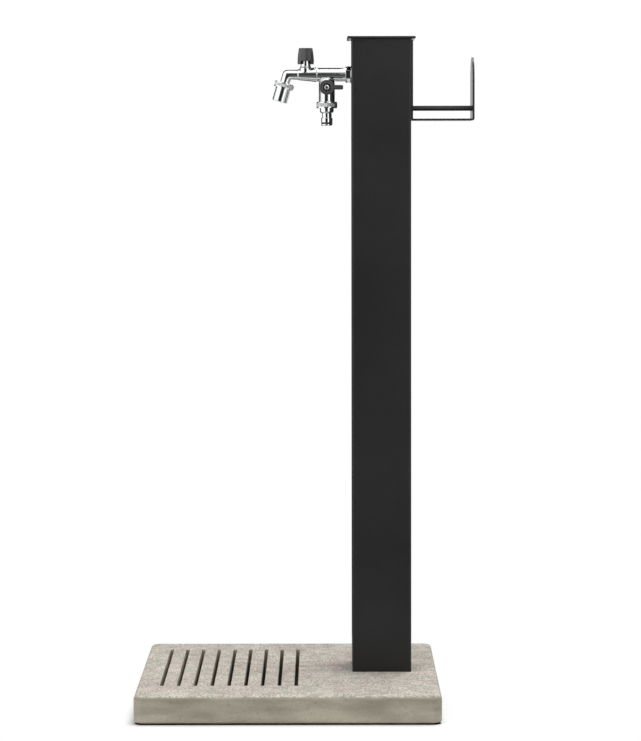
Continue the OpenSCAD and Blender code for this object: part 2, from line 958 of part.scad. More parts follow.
module wall_elbow() {
    reach = post_w/2 - elbow_face;
    water_d = riser_d - 2*riser_wall;
    color(brass)
        at_tap()
            translate([post_w/2, 0, 0])
                difference() {
                    union() {
                        sphere(d = elbow_d);
                        rotate([0, -90, 0])
                            cylinder(h = reach, d = elbow_d);
                        translate([0, 0, elbow_joint_low])
                            cylinder(h = -elbow_joint_low, d = joint_thread_d);
                    }
                    translate([-reach - cut, 0, 0])
                        rotate([0, 90, 0])
                            cylinder(h = shank_len - elbow_face + 2*cut, d = shank_d + 2*fit_gap);
                    rotate([0, -90, 0])
                        cylinder(h = reach, d = water_d);
                    translate([0, 0, elbow_joint_low - cut])
                        cylinder(h = cut - elbow_joint_low, d = water_d);
                    translate([0, 0, elbow_joint_low - cut])
                        cylinder(h = socket_depth + cut, d = riser_d + 2*fit_gap);
                }
}

// Tap body
module tap_outside() {
    along_barrel(-shank_len)
        cylinder(h = shank_len + collar_end, d = shank_d);
    along_barrel(collar_start)
        hexagon(collar_len, collar_af);
    along_barrel(collar_start)
        cylinder(h = chamber_start + chamber_lap - collar_start, d = barrel_d);
    along_barrel(chamber_start)
        cylinder(h = chamber_back + chamber_front, d1 = chamber_d, d2 = chamber_end_d);
    translate([-knob_out, 0, 0])
        cylinder(h = boss_top, d = boss_d);
    translate([-valve_out, 0, 0]) {
        translate([0, 0, -valve_len])
            cylinder(h = valve_len - valve_shoulder, d = valve_d);
        translate([0, 0, -valve_shoulder])
            sphere(d = valve_d);
        translate([0, 0, hose_end])
            cylinder(h = hose_thread_len, d = hose_thread_d);
        along_stem(0)
            cylinder(h = boss_face, d = stem_boss_d);
    }
}

module tap_waterway() {
    along_barrel(-shank_len - cut)
        cylinder(h = shank_len + chamber_start + cut, d = barrel_bore_d);
    translate([0, 0, passage_z])
        along_barrel(chamber_start - chamber_lap)
            cylinder(h = chamber_back + chamber_lap + seat_d/2, d = passage_d);
    translate([-knob_out, 0, passage_z])
        cylinder(h = cut - passage_z, d = seat_d);
    translate([-knob_out, 0, 0])
        cylinder(h = boss_top + cut, d = bonnet_bore_d);
    along_barrel(chamber_end - spigot_len - fit_gap)
        cylinder(h = spigot_len + fit_gap + cut, d = spigot_d + 2*fit_gap);
    translate([-valve_out, 0, hose_end - cut]) {
        cylinder(h = cut - hose_end, d = ball_bore_d);
        cylinder(h = seat_top - hose_end + cut, d = ball_chamber_d);
    }
    translate([-valve_out, 0, 0]) {
        along_stem(0)
            cylinder(h = boss_face, d = stem_d + 2*run_gap);
        along_stem(packing_in)
            cylinder(h = boss_face, d = packing_d);
    }
}

module tap_body() {
    color(chrome)
        at_tap()
            difference() {
                tap_outside();
                tap_waterway();
            }
}

module rosette() {
    color(chrome)
        at_tap()
            along_barrel(0)
                ring(rosette_t, rosette_d, shank_d + 2*fit_gap);
}

module shank_seal() {
    color(rubber)
        at_tap()
            along_barrel(-shank_nut_start)
                ring(shank_seal_t, shank_nut_af, shank_d + 2*fit_gap);
}

module shank_nut() {
    color(brass)
        at_tap()
            along_barrel(-shank_nut_start - shank_nut_t)
                hex_nut(shank_nut_t, shank_nut_af, shank_d + 2*fit_gap);
}

// Stop valve under the knob
module bonnet() {
    color(chrome)
        at_knob()
            difference() {
                union() {
                    translate([0, 0, bonnet_skirt])
                        cylinder(h = bonnet_base - bonnet_skirt, d = bonnet_bore_d - 2*fit_gap);
                    translate([0, 0, bonnet_base])
                        cylinder(h = bonnet_flange_t, d = bonnet_flange_d);
                    translate([0, 0, bonnet_base])
                        cylinder(h = neck_top - bonnet_base, d = neck_d);
                }
                translate([0, 0, bonnet_skirt - cut])
                    cylinder(h = disc_room_top - bonnet_skirt + cut, d = disc_room_d);
                translate([0, 0, bonnet_skirt])
                    hexagon(guide_top - bonnet_skirt, guide_af);
                cylinder(h = neck_top + cut, d = spindle_d + 2*run_gap);
                translate([0, 0, neck_top - spindle_oring_room])
                    cylinder(h = spindle_oring_room + cut, d = spindle_d + 2*spindle_oring_room);
            }
}

module bonnet_seal() {
    color(rubber)
        at_knob()
            translate([0, 0, boss_top])
                ring(bonnet_seal_t, bonnet_flange_d, bonnet_bore_d);
}

module spindle() {
    color(brass)
        at_knob()
            difference() {
                union() {
                    translate([0, 0, screw_end])
                        cylinder(h = spindle_collar_base - screw_end, d = spindle_screw_d);
                    translate([0, 0, spindle_collar_base])
                        cylinder(h = spindle_collar_t, d = spindle_collar_d);
                    translate([0, 0, spindle_collar_base])
                        cylinder(h = knob_pocket - spindle_collar_base, d = spindle_d);
                }
                translate([0, 0, knob_pocket - small_screw_len])
                    cylinder(h = small_screw_len + cut, d = small_screw_d + 2*fit_gap);
            }
}

module spindle_oring() {
    color(rubber)
        at_knob()
            translate([0, 0, neck_top - spindle_oring_room/2])
                sealing_ring(spindle_d + spindle_oring_d + 2*fit_gap, spindle_oring_d);
}

module plunger() {
    color(brass)
        at_knob()
            difference() {
                union() {
                    translate([0, 0, disc_bottom])
                        cylinder(h = disc_t, d = plunger_disc_d);
                    translate([0, 0, disc_bottom])
                        hexagon(plunger_top - disc_bottom, plunger_af);
                }
                translate([0, 0, disc_bottom + disc_t])
                    cylinder(h = plunger_top, d = spindle_screw_d + 2*fit_gap);
            }
}

module plunger_washer() {
    color(rubber)
        at_knob()
            translate([0, 0, run_gap])
                cylinder(h = plunger_washer_t, d = plunger_disc_d);
}

module knob_blank() {
    translate([0, 0, knob_bottom])
        rotate_extrude() {
            intersection() {
                translate([knob_d/2 - knob_side_r, knob_waist])
                    circle(knob_side_r, $fn = 128);
                translate([0, knob_waist])
                    square([knob_d, knob_h - knob_waist]);
            }
            intersection() {
                translate([knob_d/2 - knob_skirt_r, knob_waist])
                    circle(knob_skirt_r, $fn = 128);
                square([knob_d, knob_waist]);
            }
        }
}

module knob() {
    step = 360/knob_lobes;
    color(dark_plastic)
        at_knob()
            difference() {
                knob_blank();
                for (i = [0 : knob_lobes - 1])
                    rotate(i*step)
                        translate([0, 0, knob_bottom + knob_waist])
                            rotate([0, -flute_lean, 0])
                                translate([knob_d/2 - flute_depth + flute_r, 0, -knob_h])
                                    cylinder(h = 2*knob_h, r = flute_r);
                translate([0, knob_d, knob_bottom])
                    rotate([90, 0, 0])
                        linear_extrude(2*knob_d)
                            rounded_square(notch_w, 2*notch_h, notch_corner_r);
                translate([0, 0, knob_bottom - cut])
                    cylinder(h = knob_web - knob_bottom + cut, d = neck_d + 2*pass_gap);
                cylinder(h = knob_top, d = spindle_d + 2*fit_gap);
                translate([0, 0, knob_pocket])
                    cylinder(h = knob_h, d = knob_screw_head_d + 2*fit_gap);
                translate([0, 0, cover_bottom])
                    cylinder(h = knob_h, d = cover_d + 2*fit_gap);
            }
}

module knob_screw() {
    color(steel)
        at_knob() {
            translate([0, 0, knob_pocket])
                difference() {
                    cylinder(h = knob_screw_head_h, d = knob_screw_head_d);
                    translate([0, 0, knob_screw_head_h/2])
                        hexagon(knob_screw_head_h, socket_af);
                }
            translate([0, 0, knob_pocket - small_screw_len + small_screw_room])
                cylinder(h = small_screw_len - small_screw_room, d = small_screw_d);
        }
}

module knob_cover() {
    color(dark_plastic)
        at_knob()
            translate([0, 0, cover_bottom])
                cylinder(h = cover_t, d = cover_d);
}

// Spout
// The spout's level run and its leg, meeting in a ball corner
module spout_run(d) {
    at_tap()
        along_barrel(chamber_end)
            cylinder(h = spout_out - chamber_end, d = d);
    along_leg(0) {
        sphere(d = d + 2*corner_swell);
        cylinder(h = spout_end, d = d);
    }
}

module spout_tube() {
    groove_w = spout_oring_d + 2*fit_gap;
    groove_d = spigot_d - 2*groove_w;
    color(chrome)
        difference() {
            union() {
                spout_run(spout_d);
                at_tap()
                    along_barrel(chamber_end - spigot_len)
                        cylinder(h = spigot_len + cut, d = spigot_d);
                along_leg(spout_thread_start)
                    cylinder(h = spout_end - spout_thread_start, d = spout_thread_d);
            }
            spout_run(spout_bore_d);
            at_tap()
                along_barrel(chamber_end - spigot_len - cut)
                    cylinder(h = spigot_len + 2*cut, d = spigot_d - 2*spigot_wall);
            at_tap()
                along_barrel(chamber_end - spigot_len/2 - groove_w/2)
                    ring(groove_w, spigot_d + 2*cut, groove_d);
            along_leg(spout_end - cut)
                cylinder(h = 2*cut, d = spout_bore_d);
        }
}

module spout_oring() {
    color(rubber)
        at_tap()
            along_barrel(chamber_end - spigot_len/2)
                sealing_ring(spigot_d - spout_oring_d, spout_oring_d);
}

module spout_nut() {
    color(chrome)
        along_leg(spout_nut_end)
            mirror([0, 0, 1])
                knurled_nut(spout_nut_h, spout_nut_d, spout_thread_d, sleeve_d + 2*fit_gap);
}

module spout_seal() {
    color(rubber)
        along_leg(spout_end)
            ring(spout_seal_t, spout_thread_d - 2*seal_ease, spout_bore_d + throat_wall);
}

module spout_sleeve() {
    color(chrome)
        difference() {
            union() {
                along_leg(spout_seal_end)
                    cylinder(h = spout_flange_t, d = spout_thread_d - 2*flange_ease);
                along_leg(spout_seal_end)
                    cylinder(h = sleeve_end - spout_seal_end, d = sleeve_d - 2*sleeve_neck_step);
                along_leg(spout_nut_end + sleeve_relief)
                    cylinder(h = sleeve_len - sleeve_relief, d = sleeve_d);
            }
            along_leg(spout_seal_end - cut)
                cylinder(h = sleeve_end, d = spout_bore_d + 2*throat_wall);
            along_leg(spout_nut_end)
                cylinder(h = sleeve_len + cut, d = sleeve_bore_d);
        }
}

// Disc with two rings of jets that stops the water from spraying
module jet_insert() {
    jet_d = 1.8;
    ring_r = [sleeve_bore_d/6, sleeve_bore_d/3];
    ring_n = [6, 12];
    color(white_plastic)
        along_leg(sleeve_end - insert_depth - insert_t)
            difference() {
                cylinder(h = insert_t, d = sleeve_bore_d - 2*fit_gap);
                translate([0, 0, -cut])
                    cylinder(h = insert_t + 2*cut, d = jet_d);
                for (k = [0, 1], i = [1 : ring_n[k]])
                    rotate(360*i/ring_n[k])
                        translate([ring_r[k], 0, -cut])
                            cylinder(h = insert_t + 2*cut, d = jet_d);
            }
}

// Hose valve
module valve_ball() {
    color(chrome)
        at_valve()
            difference() {
                translate([0, 0, ball_z])
                    sphere(d = ball_d);
                translate([-ball_d, 0, ball_z])
                    rotate([0, 90, 0])
                        cylinder(h = 2*ball_d, d = ball_bore_d);
                translate([-ball_d/2, -ball_d, ball_z - tang_t/2 - fit_gap])
                    cube([ball_d, ball_d/2 + tang_len, tang_t + 2*fit_gap]);
            }
}

module ball_seats() {
    color(white_plastic)
        at_valve()
            for (z = [ball_z + ball_seat_in, seat_low])
                difference() {
                    translate([0, 0, z])
                        ring(ball_seat_t, ball_chamber_d - 2*fit_gap, ball_bore_d);
                    translate([0, 0, ball_z])
                        sphere(d = ball_d + 2*fit_gap);
                }
}

module seat_ring() {
    color(brass)
        at_valve()
            translate([0, 0, seat_ring_end])
                difference() {
                    cylinder(h = seat_ring_h, d = ball_chamber_d - 2*fit_gap);
                    translate([0, 0, -cut])
                        hexagon(seat_ring_h + 2*cut, ball_bore_d);
                }
}

module ball_stem() {
    stem_in = ball_d/2 + fit_gap;
    color(brass)
        at_valve()
            difference() {
                union() {
                    along_stem(stem_in)
                        cylinder(h = recess_floor - stem_in, d = stem_d);
                    along_stem(packing_in + run_gap)
                        cylinder(h = stem_shoulder_t, d = packing_d - 2*pass_gap);
                    along_stem(ball_d/2 - tang_len + fit_gap)
                        translate([-tang_w/2, -tang_t/2, 0])
                            cube([tang_w, tang_t, tang_len]);
                }
                along_stem(recess_floor - small_screw_len)
                    cylinder(h = small_screw_len + cut, d = small_screw_d + 2*fit_gap);
            }
}

module stem_seal() {
    color(rubber)
        at_valve()
            along_stem(packing_in + 2*run_gap + stem_shoulder_t)
                ring(stem_seal_t, packing_d - 2*run_gap, stem_d + 2*run_gap);
}

module stem_gland() {
    start = packing_in + 3*run_gap + stem_shoulder_t + stem_seal_t;
    color(brass)
        at_valve()
            along_stem(start)
                ring(boss_face - start, packing_d - 2*run_gap, stem_d + 2*run_gap);
}

module lever() {
    tip_r = lever_arm_h/3;
    color(dark_plastic)
        at_valve()
            difference() {
                union() {
                    along_stem(lever_back)
                        cylinder(h = lever_t, d = hub_d);
                    along_stem(lever_back)
                        linear_extrude(lever_t) {
                            translate([0, -lever_arm_h/2])
                                square([lever_len - tip_r, lever_arm_h]);
                            translate([lever_len - 2*tip_r, tip_r - lever_arm_h/2])
                                square([2*tip_r, lever_arm_h - 2*tip_r]);
                            for (s = [-1, 1])
                                translate([lever_len - tip_r, s*(lever_arm_h/2 - tip_r)])
                                    circle(tip_r);
                        }
                }
                along_stem(lever_back - cut)
                    cylinder(h = lever_t, d = stem_d + 2*fit_gap);
                along_stem(recess_floor)
                    cylinder(h = hub_recess_h + cut, d = hub_recess_d);
            }
}

module lever_screw() {
    head_h = hub_recess_h - lever_screw_set;
    color(chrome)
        at_valve() {
            along_stem(recess_floor)
                difference() {
                    cylinder(h = head_h, d = lever_screw_d);
                    translate([0, 0, head_h/2])
                        hexagon(head_h, socket_af);
                }
            along_stem(recess_floor - small_screw_len + small_screw_room)
                cylinder(h = small_screw_len - small_screw_room, d = small_screw_d);
        }
}

// Hose plug
module hose_nut() {
    color(chrome)
        at_valve()
            translate([0, 0, hose_nut_end])
                knurled_nut(hose_nut_h, hose_nut_d, hose_thread_d, plug_collar_d + 2*fit_gap);
}

module hose_seal() {
    color(rubber)
        at_valve()
            translate([0, 0, hose_seal_end])
                ring(hose_end - hose_seal_end, hose_thread_d - 2*seal_ease, plug_bore_d + 2*throat_wall);
}

module plug_profile() {
    collar_r = plug_collar_d/2;
    neck_r = plug_neck_d/2;
    ring_r = plug_ring_d/2;
    groove_r = plug_groove_d/2;
    bore_r = plug_bore_d/2;
    flange_r = hose_thread_d/2 - flange_ease;
    polygon([
        [bore_r, hose_seal_end], [flange_r, hose_seal_end], [flange_r, hose_flange_end],
        [collar_r, hose_flange_end], [collar_r, plug_collar_end + plug_shoulder], [neck_r, plug_collar_end],
        [neck_r, plug_neck_end], [ring_r - plug_bevel, plug_neck_end], [ring_r, plug_neck_end - plug_bevel],
        [ring_r, plug_ring_end], [groove_r, plug_ring_end], [groove_r, plug_groove_end],
        [ring_r - plug_bevel/2, plug_groove_end], [ring_r - plug_bevel/2, plug_nose_end + plug_bevel],
        [ring_r - 2*plug_bevel, plug_nose_end], [bore_r, plug_nose_end]
    ]);
}

module hose_plug() {
    color(chrome)
        at_valve()
            rotate_extrude()
                plug_profile();
}

module plug_oring() {
    color(rubber)
        at_valve()
            translate([0, 0, plug_ring_end - oring_room/2])
                sealing_ring(plug_ring_d - oring_d, oring_d);
}

base_slab();
foot_plate();
foot_bolts();
foot_washers();
post_tube();
post_screws();
top_cap();
cap_plug();
hanger_bracket();
hose_saddle();
hanger_screws();
hanger_rivet_nuts();
inlet_fitting();
inlet_nut();
riser_pipe();
riser_nuts();
riser_olives();
wall_elbow();
tap_body();
rosette();
shank_seal();
shank_nut();
bonnet();
bonnet_seal();
spindle();
spindle_oring();
plunger();
plunger_washer();
knob();
knob_screw();
knob_cover();
spout_tube();
spout_oring();
spout_nut();
spout_seal();
spout_sleeve();
jet_insert();
valve_ball();
ball_seats();
seat_ring();
ball_stem();
stem_seal();
stem_gland();
lever();
lever_screw();
hose_nut();
hose_seal();
hose_plug();
plug_oring();
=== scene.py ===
"""Garden standpipe: finishes, modelled pieces, light and camera around the fixed frame.

Lengths are in metres. Angles in dataclass fields are in degrees.
"""

import json
import logging
import math
from dataclasses import dataclass
from enum import Enum
from typing import Callable

import bmesh
import bpy
from mathutils import Matrix, Vector


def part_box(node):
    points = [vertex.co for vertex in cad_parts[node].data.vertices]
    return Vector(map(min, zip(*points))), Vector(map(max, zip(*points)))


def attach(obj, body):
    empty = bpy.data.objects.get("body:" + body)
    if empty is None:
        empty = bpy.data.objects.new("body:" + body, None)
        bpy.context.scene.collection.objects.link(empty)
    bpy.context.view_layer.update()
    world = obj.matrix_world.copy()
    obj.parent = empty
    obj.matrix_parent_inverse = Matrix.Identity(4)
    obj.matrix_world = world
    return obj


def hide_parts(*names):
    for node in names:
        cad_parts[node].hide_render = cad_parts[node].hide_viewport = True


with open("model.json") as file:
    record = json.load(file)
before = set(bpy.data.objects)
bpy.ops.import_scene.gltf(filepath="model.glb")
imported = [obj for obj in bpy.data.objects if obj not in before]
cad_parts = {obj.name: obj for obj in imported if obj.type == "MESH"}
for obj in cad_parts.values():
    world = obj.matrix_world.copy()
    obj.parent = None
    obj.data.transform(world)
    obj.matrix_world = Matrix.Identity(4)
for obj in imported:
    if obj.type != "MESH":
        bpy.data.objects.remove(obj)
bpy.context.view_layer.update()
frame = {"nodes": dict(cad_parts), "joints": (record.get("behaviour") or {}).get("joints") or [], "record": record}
LOG = logging.getLogger("standpipe")

Piece = bpy.types.Object
Material = bpy.types.Material
Socket = bpy.types.NodeSocket
Edge = bmesh.types.BMEdge
Test = Callable[[object], bool]
EdgeTest = Callable[[Edge], bool]
Profile = list[tuple[float, float]]
Points = tuple[tuple[float, float], ...]
Span = tuple[float, float]
Colour = tuple[float, float, float, float]

MM = 0.001
# Points closer than this are merged
MELD = 0.002*MM
# Reach of a test for a place in a mesh
NEAR = 0.02*MM
# Part of a normal along an axis from which a face counts as facing that way
FACING = 0.99
# Largest turn between faces that is shaded smooth, in degrees
SMOOTH_ANGLE = 32.0
# Strength of one pass that smooths a cast skin
PASS_STRENGTH = 0.5
# Middle range of a cloudy pattern
CLOUD_RANGE: Span = (0.3, 0.7)
# Points round a turned piece, round a small one and round a hexagon
ROUND = 96
SMALL_ROUND = 48
HEXAGON = 6
# Name of the mark on the points of a knurl
KNURL = "knurl"

LEFT = Vector((-1, 0, 0))
RIGHT = Vector((1, 0, 0))
FRONT = Vector((0, -1, 0))
REAR = Vector((0, 1, 0))
DOWN = Vector((0, 0, -1))
UP = Vector((0, 0, 1))


class Slot(Enum):
    """Material slots of the record."""

    CONCRETE = "concrete"
    POWDER_COAT = "powder_coat"
    CHROME = "chrome"
    DARK_PLASTIC = "dark_plastic"
    RUBBER = "rubber"
    BRASS = "brass"
    STEEL = "steel"
    WHITE_PLASTIC = "white_plastic"


class Body(Enum):
    """Rigid bodies that carry modelled pieces."""

    STAND = "stand"
    KNOB = "knob"
    LEVER = "lever"


class Pick(Enum):
    """What a selection in edit mode holds."""

    POINTS = "VERT"
    EDGES = "EDGE"
    FACES = "FACE"


class Axis(Enum):
    """Axes of the frame."""

    X = "X"
    Y = "Y"
    Z = "Z"


class Sum(Enum):
    """Steps of arithmetic between patterns."""

    ADD = "ADD"
    SUBTRACT = "SUBTRACT"
    MULTIPLY = "MULTIPLY"
    LARGER = "MAXIMUM"
    SIZE = "ABSOLUTE"


class Blend(Enum):
    """Ways to blend two colours."""

    MIX = "MIX"
    MULTIPLY = "MULTIPLY"


class Slope(Enum):
    """Ways from one value to another."""

    STRAIGHT = "LINEAR"
    SMOOTH = "SMOOTHSTEP"


def grey(value: float) -> Colour:
    """Neutral colour of that linear value."""
    return (value, value, value, 1.0)


@dataclass(frozen=True)
class Cloud:
    """Cloudy pattern: length of a feature in metres, finer layers, and scale along each axis."""

    size: float
    detail: float
    stretch: tuple[float, float, float] | None = None


@dataclass(frozen=True)
class Ramp:
    """Blend of two colours between two values of a pattern."""

    low: float
    low_colour: Colour
    high: float
    high_colour: Colour


@dataclass(frozen=True)
class Relief:
    """Depth of a relief in metres, and how strongly it shows, up to 1."""

    depth: float
    strength: float


class Wiring:
    """Node tree with short calls that add and join nodes."""

    def __init__(self, tree: bpy.types.NodeTree) -> None:
        """Keep the tree that gets the nodes."""
        self.tree = tree

    def add(self, kind: str, **settings: object) -> bpy.types.Node:
        """Add a node and set its properties.

        Args:
            kind: Type of the node.
            settings: Its properties and their values.
        Returns:
            The node.
        """
        node = self.tree.nodes.new(kind)
        for key, value in settings.items():
            setattr(node, key, value)
        return node

    def join(self, source: Socket, target: Socket) -> None:
        """Link two sockets."""
        self.tree.links.new(source, target)

    def feed(self, source: Socket | float, target: Socket) -> None:
        """Give an input a value.

        Args:
            source: A socket to link, or a number to set.
            target: The input.
        """
        if isinstance(source, float):
            target.default_value = source
        else:
            self.join(source, target)

    def sum_up(self, step: Sum, first: Socket, second: Socket | float = 0.0) -> Socket:
        """One step of arithmetic.

        Args:
            step: The step.
            first: First value.
            second: Second value, a socket or a number.
        Returns:
            The result.
        """
        node = self.add("ShaderNodeMath", operation=step.value)
        self.join(first, node.inputs[0])
        self.feed(second, node.inputs[1])
        return node.outputs[0]

    def seen_rays(self) -> Socket:
        """Find the rays that come from the camera, a mirror or clear glass.

        Returns:
            Their share, 0 or 1.
        """
        rays = self.add("ShaderNodeLightPath").outputs
        mirrored = self.sum_up(Sum.LARGER, rays["Is Camera Ray"], rays["Is Glossy Ray"])
        return self.sum_up(Sum.LARGER, mirrored, rays["Is Transmission Ray"])

    def crossfade(self, share: Socket, first: bpy.types.Node, second: bpy.types.Node, output: str) -> None:
        """Send a mix of two shaders to the tree's output.

        Args:
            share: Share of the second shader.
            first: First shader.
            second: Second shader.
            output: Name of the output node.
        """
        mixer = self.add("ShaderNodeMixShader")
        for index, source in enumerate((share, first.outputs[0], second.outputs[0])):
            self.join(source, mixer.inputs[index])
        self.join(mixer.outputs[0], self.tree.nodes[output].inputs["Surface"])


class NodeSheet(Wiring):
    """Node tree of one material, with patterns on object coordinates."""

    def __init__(self, name: str) -> None:
        """Start a material with a principled shader.

        Args:
            name: Name of the material.
        """
        self.material = bpy.data.materials.new(name)
        self.material.use_nodes = True
        super().__init__(self.material.node_tree)
        self.shader = self.tree.nodes["Principled BSDF"]
        places = self.add("ShaderNodeTexCoord")
        self.place = places.outputs["Object"]
        self.normal = places.outputs["Normal"]
        self.last_bump: Socket | None = None

    def set(self, **values: object) -> None:
        """Set constants on the shader's own sockets, named with underscores for spaces."""
        for key, value in values.items():
            self.shader.inputs[key.replace("_", " ")].default_value = value

    def noise(self, cloud: Cloud) -> Socket:
        """Cloudy pattern.

        Args:
            cloud: Its size, layers and stretch.
        Returns:
            The pattern's value, from 0 to 1.
        """
        node = self.add("ShaderNodeTexNoise")
        node.inputs["Scale"].default_value = 1.0/cloud.size
        node.inputs["Detail"].default_value = cloud.detail
        source = self.place
        if cloud.stretch is not None:
            mapping = self.add("ShaderNodeMapping")
            mapping.inputs["Scale"].default_value = cloud.stretch
            self.join(source, mapping.inputs["Vector"])
            source = mapping.outputs["Vector"]
        self.join(source, node.inputs["Vector"])
        return node.outputs["Fac"]

    def cells(self, size: float) -> Socket:
        """Pattern of grains.

        Args:
            size: Distance between grains, in metres.
        Returns:
            The distance from the middle of the nearest grain, in parts of that size.
        """
        node = self.add("ShaderNodeTexVoronoi")
        node.inputs["Scale"].default_value = 1.0/size
        self.join(self.place, node.inputs["Vector"])
        return node.outputs["Distance"]

    def part(self, source: Socket, axis: Axis) -> Socket:
        """One axis of a vector.

        Args:
            source: The vector.
            axis: The axis.
        Returns:
            The vector's part along it.
        """
        node = self.add("ShaderNodeSeparateXYZ")
        self.join(source, node.inputs["Vector"])
        return node.outputs[axis.value]

    def facing(self, axis: Axis) -> Socket:
        """How far the surface faces along an axis, from -1 to 1."""
        return self.part(self.normal, axis)

    def mark(self, name: str) -> Socket:
        """Value that the mesh itself holds on its points under a name."""
        return self.add("ShaderNodeAttribute", attribute_name=name).outputs["Fac"]

    def outward(self) -> tuple[Socket, Socket]:
        """Distances from the middle of the slab.

        Returns:
            The distance to the side and the distance to the front.
        """
        size = self.add("ShaderNodeVectorMath", operation=Sum.SIZE.value)
        self.join(self.place, size.inputs[0])
        return self.part(size.outputs[0], Axis.X), self.part(size.outputs[0], Axis.Y)

    def spread(self, source: Socket, old: Span, new: Span = (0.0, 1.0),
               slope: Slope = Slope.STRAIGHT) -> Socket:
        """Spread one range of values over another.

        Args:
            source: The value.
            old: Start and end of its range.
            new: Start and end of the new range, which the result never leaves.
            slope: How the way between them runs.
        Returns:
            The new value.
        """
        node = self.add("ShaderNodeMapRange", interpolation_type=slope.value)
        for key, value in zip(("From Min", "From Max", "To Min", "To Max"), (*old, *new)):
            node.inputs[key].default_value = value
        self.join(source, node.inputs["Value"])
        return node.outputs["Result"]

    def between(self, axis: Axis, start: float, end: float) -> Socket:
        """Share of the way between two places along an axis, from 0 to 1."""
        return self.spread(self.part(self.place, axis), (start, end))

    def step(self, source: Socket, old: Span, new: Span = (0.0, 1.0)) -> Socket:
        """Smooth step from one value to another over a range of distances."""
        return self.spread(source, old, new, Slope.SMOOTH)

    def ramp(self, source: Socket, ramp: Ramp) -> Socket:
        """Colour a pattern.

        Args:
            source: The pattern.
            ramp: The two colours and their values.
        Returns:
            The colour.
        """
        node = self.add("ShaderNodeValToRGB")
        first, second = node.color_ramp.elements
        first.position, first.color = ramp.low, ramp.low_colour
        second.position, second.color = ramp.high, ramp.high_colour
        self.join(source, node.inputs["Fac"])
        return node.outputs["Color"]

    def blend(self, kind: Blend, share: Socket | float, first: Socket, second: Socket) -> Socket:
        """Blend two colours.

        Args:
            kind: How they are blended.
            share: Share of the second colour, a socket or a number.
            first: First colour.
            second: Second colour.
        Returns:
            The colour.
        """
        node = self.add("ShaderNodeMix", data_type="RGBA", blend_type=kind.value)
        self.feed(share, node.inputs["Factor"])
        self.join(first, node.inputs["A"])
        self.join(second, node.inputs["B"])
        return node.outputs["Result"]

    def shade(self, colour: Socket, pattern: Socket) -> Socket:
        """Colour multiplied by a pattern."""
        return self.blend(Blend.MULTIPLY, 1.0, colour, pattern)

    def relief(self, height: Socket, relief: Relief) -> None:
        """Add a layer of relief over the layers before it.

        Args:
            height: Pattern that gives the height.
            relief: Its depth and strength.
        """
        node = self.add("ShaderNodeBump")
        node.inputs["Strength"].default_value = relief.strength
        node.inputs["Distance"].default_value = relief.depth
        self.join(height, node.inputs["Height"])
        if self.last_bump is not None:
            self.join(self.last_bump, node.inputs["Normal"])
        self.last_bump = node.outputs["Normal"]
        self.join(self.last_bump, self.shader.inputs["Normal"])

    def colour(self, source: Socket) -> None:
        """Send a pattern to the base colour."""
        self.join(source, self.shader.inputs["Base Color"])

    def gloss(self, source: Socket) -> None:
        """Send a pattern to the roughness."""
        self.join(source, self.shader.inputs["Roughness"])


@dataclass(frozen=True)
class PowderCoat:
    """Anthracite powder coat with a fine texture."""

    name: str
    rough: Span
    specular: float
    shade: Cloud = Cloud(140*MM, 3.0)
    tone: Ramp = Ramp(0.35, (0.0205, 0.0205, 0.0208, 1.0), 0.65, (0.0260, 0.0260, 0.0264, 1.0))
    peel: Cloud = Cloud(6*MM, 1.0)
    peel_relief: Relief = Relief(0.06*MM, 0.5)
    grain: Cloud = Cloud(0.7*MM, 3.0)
    grain_relief: Relief = Relief(0.05*MM, 0.6)

    def build(self) -> Material:
        """Wire the finish.

        Returns:
            The material.
        """
        sheet = NodeSheet(self.name)
        grain = sheet.noise(self.grain)
        sheet.colour(sheet.ramp(sheet.noise(self.shade), self.tone))
        sheet.set(Specular_IOR_Level=self.specular)
        sheet.gloss(sheet.spread(grain, CLOUD_RANGE, self.rough))
        sheet.relief(sheet.noise(self.peel), self.peel_relief)
        sheet.relief(grain, self.grain_relief)
        return sheet.material


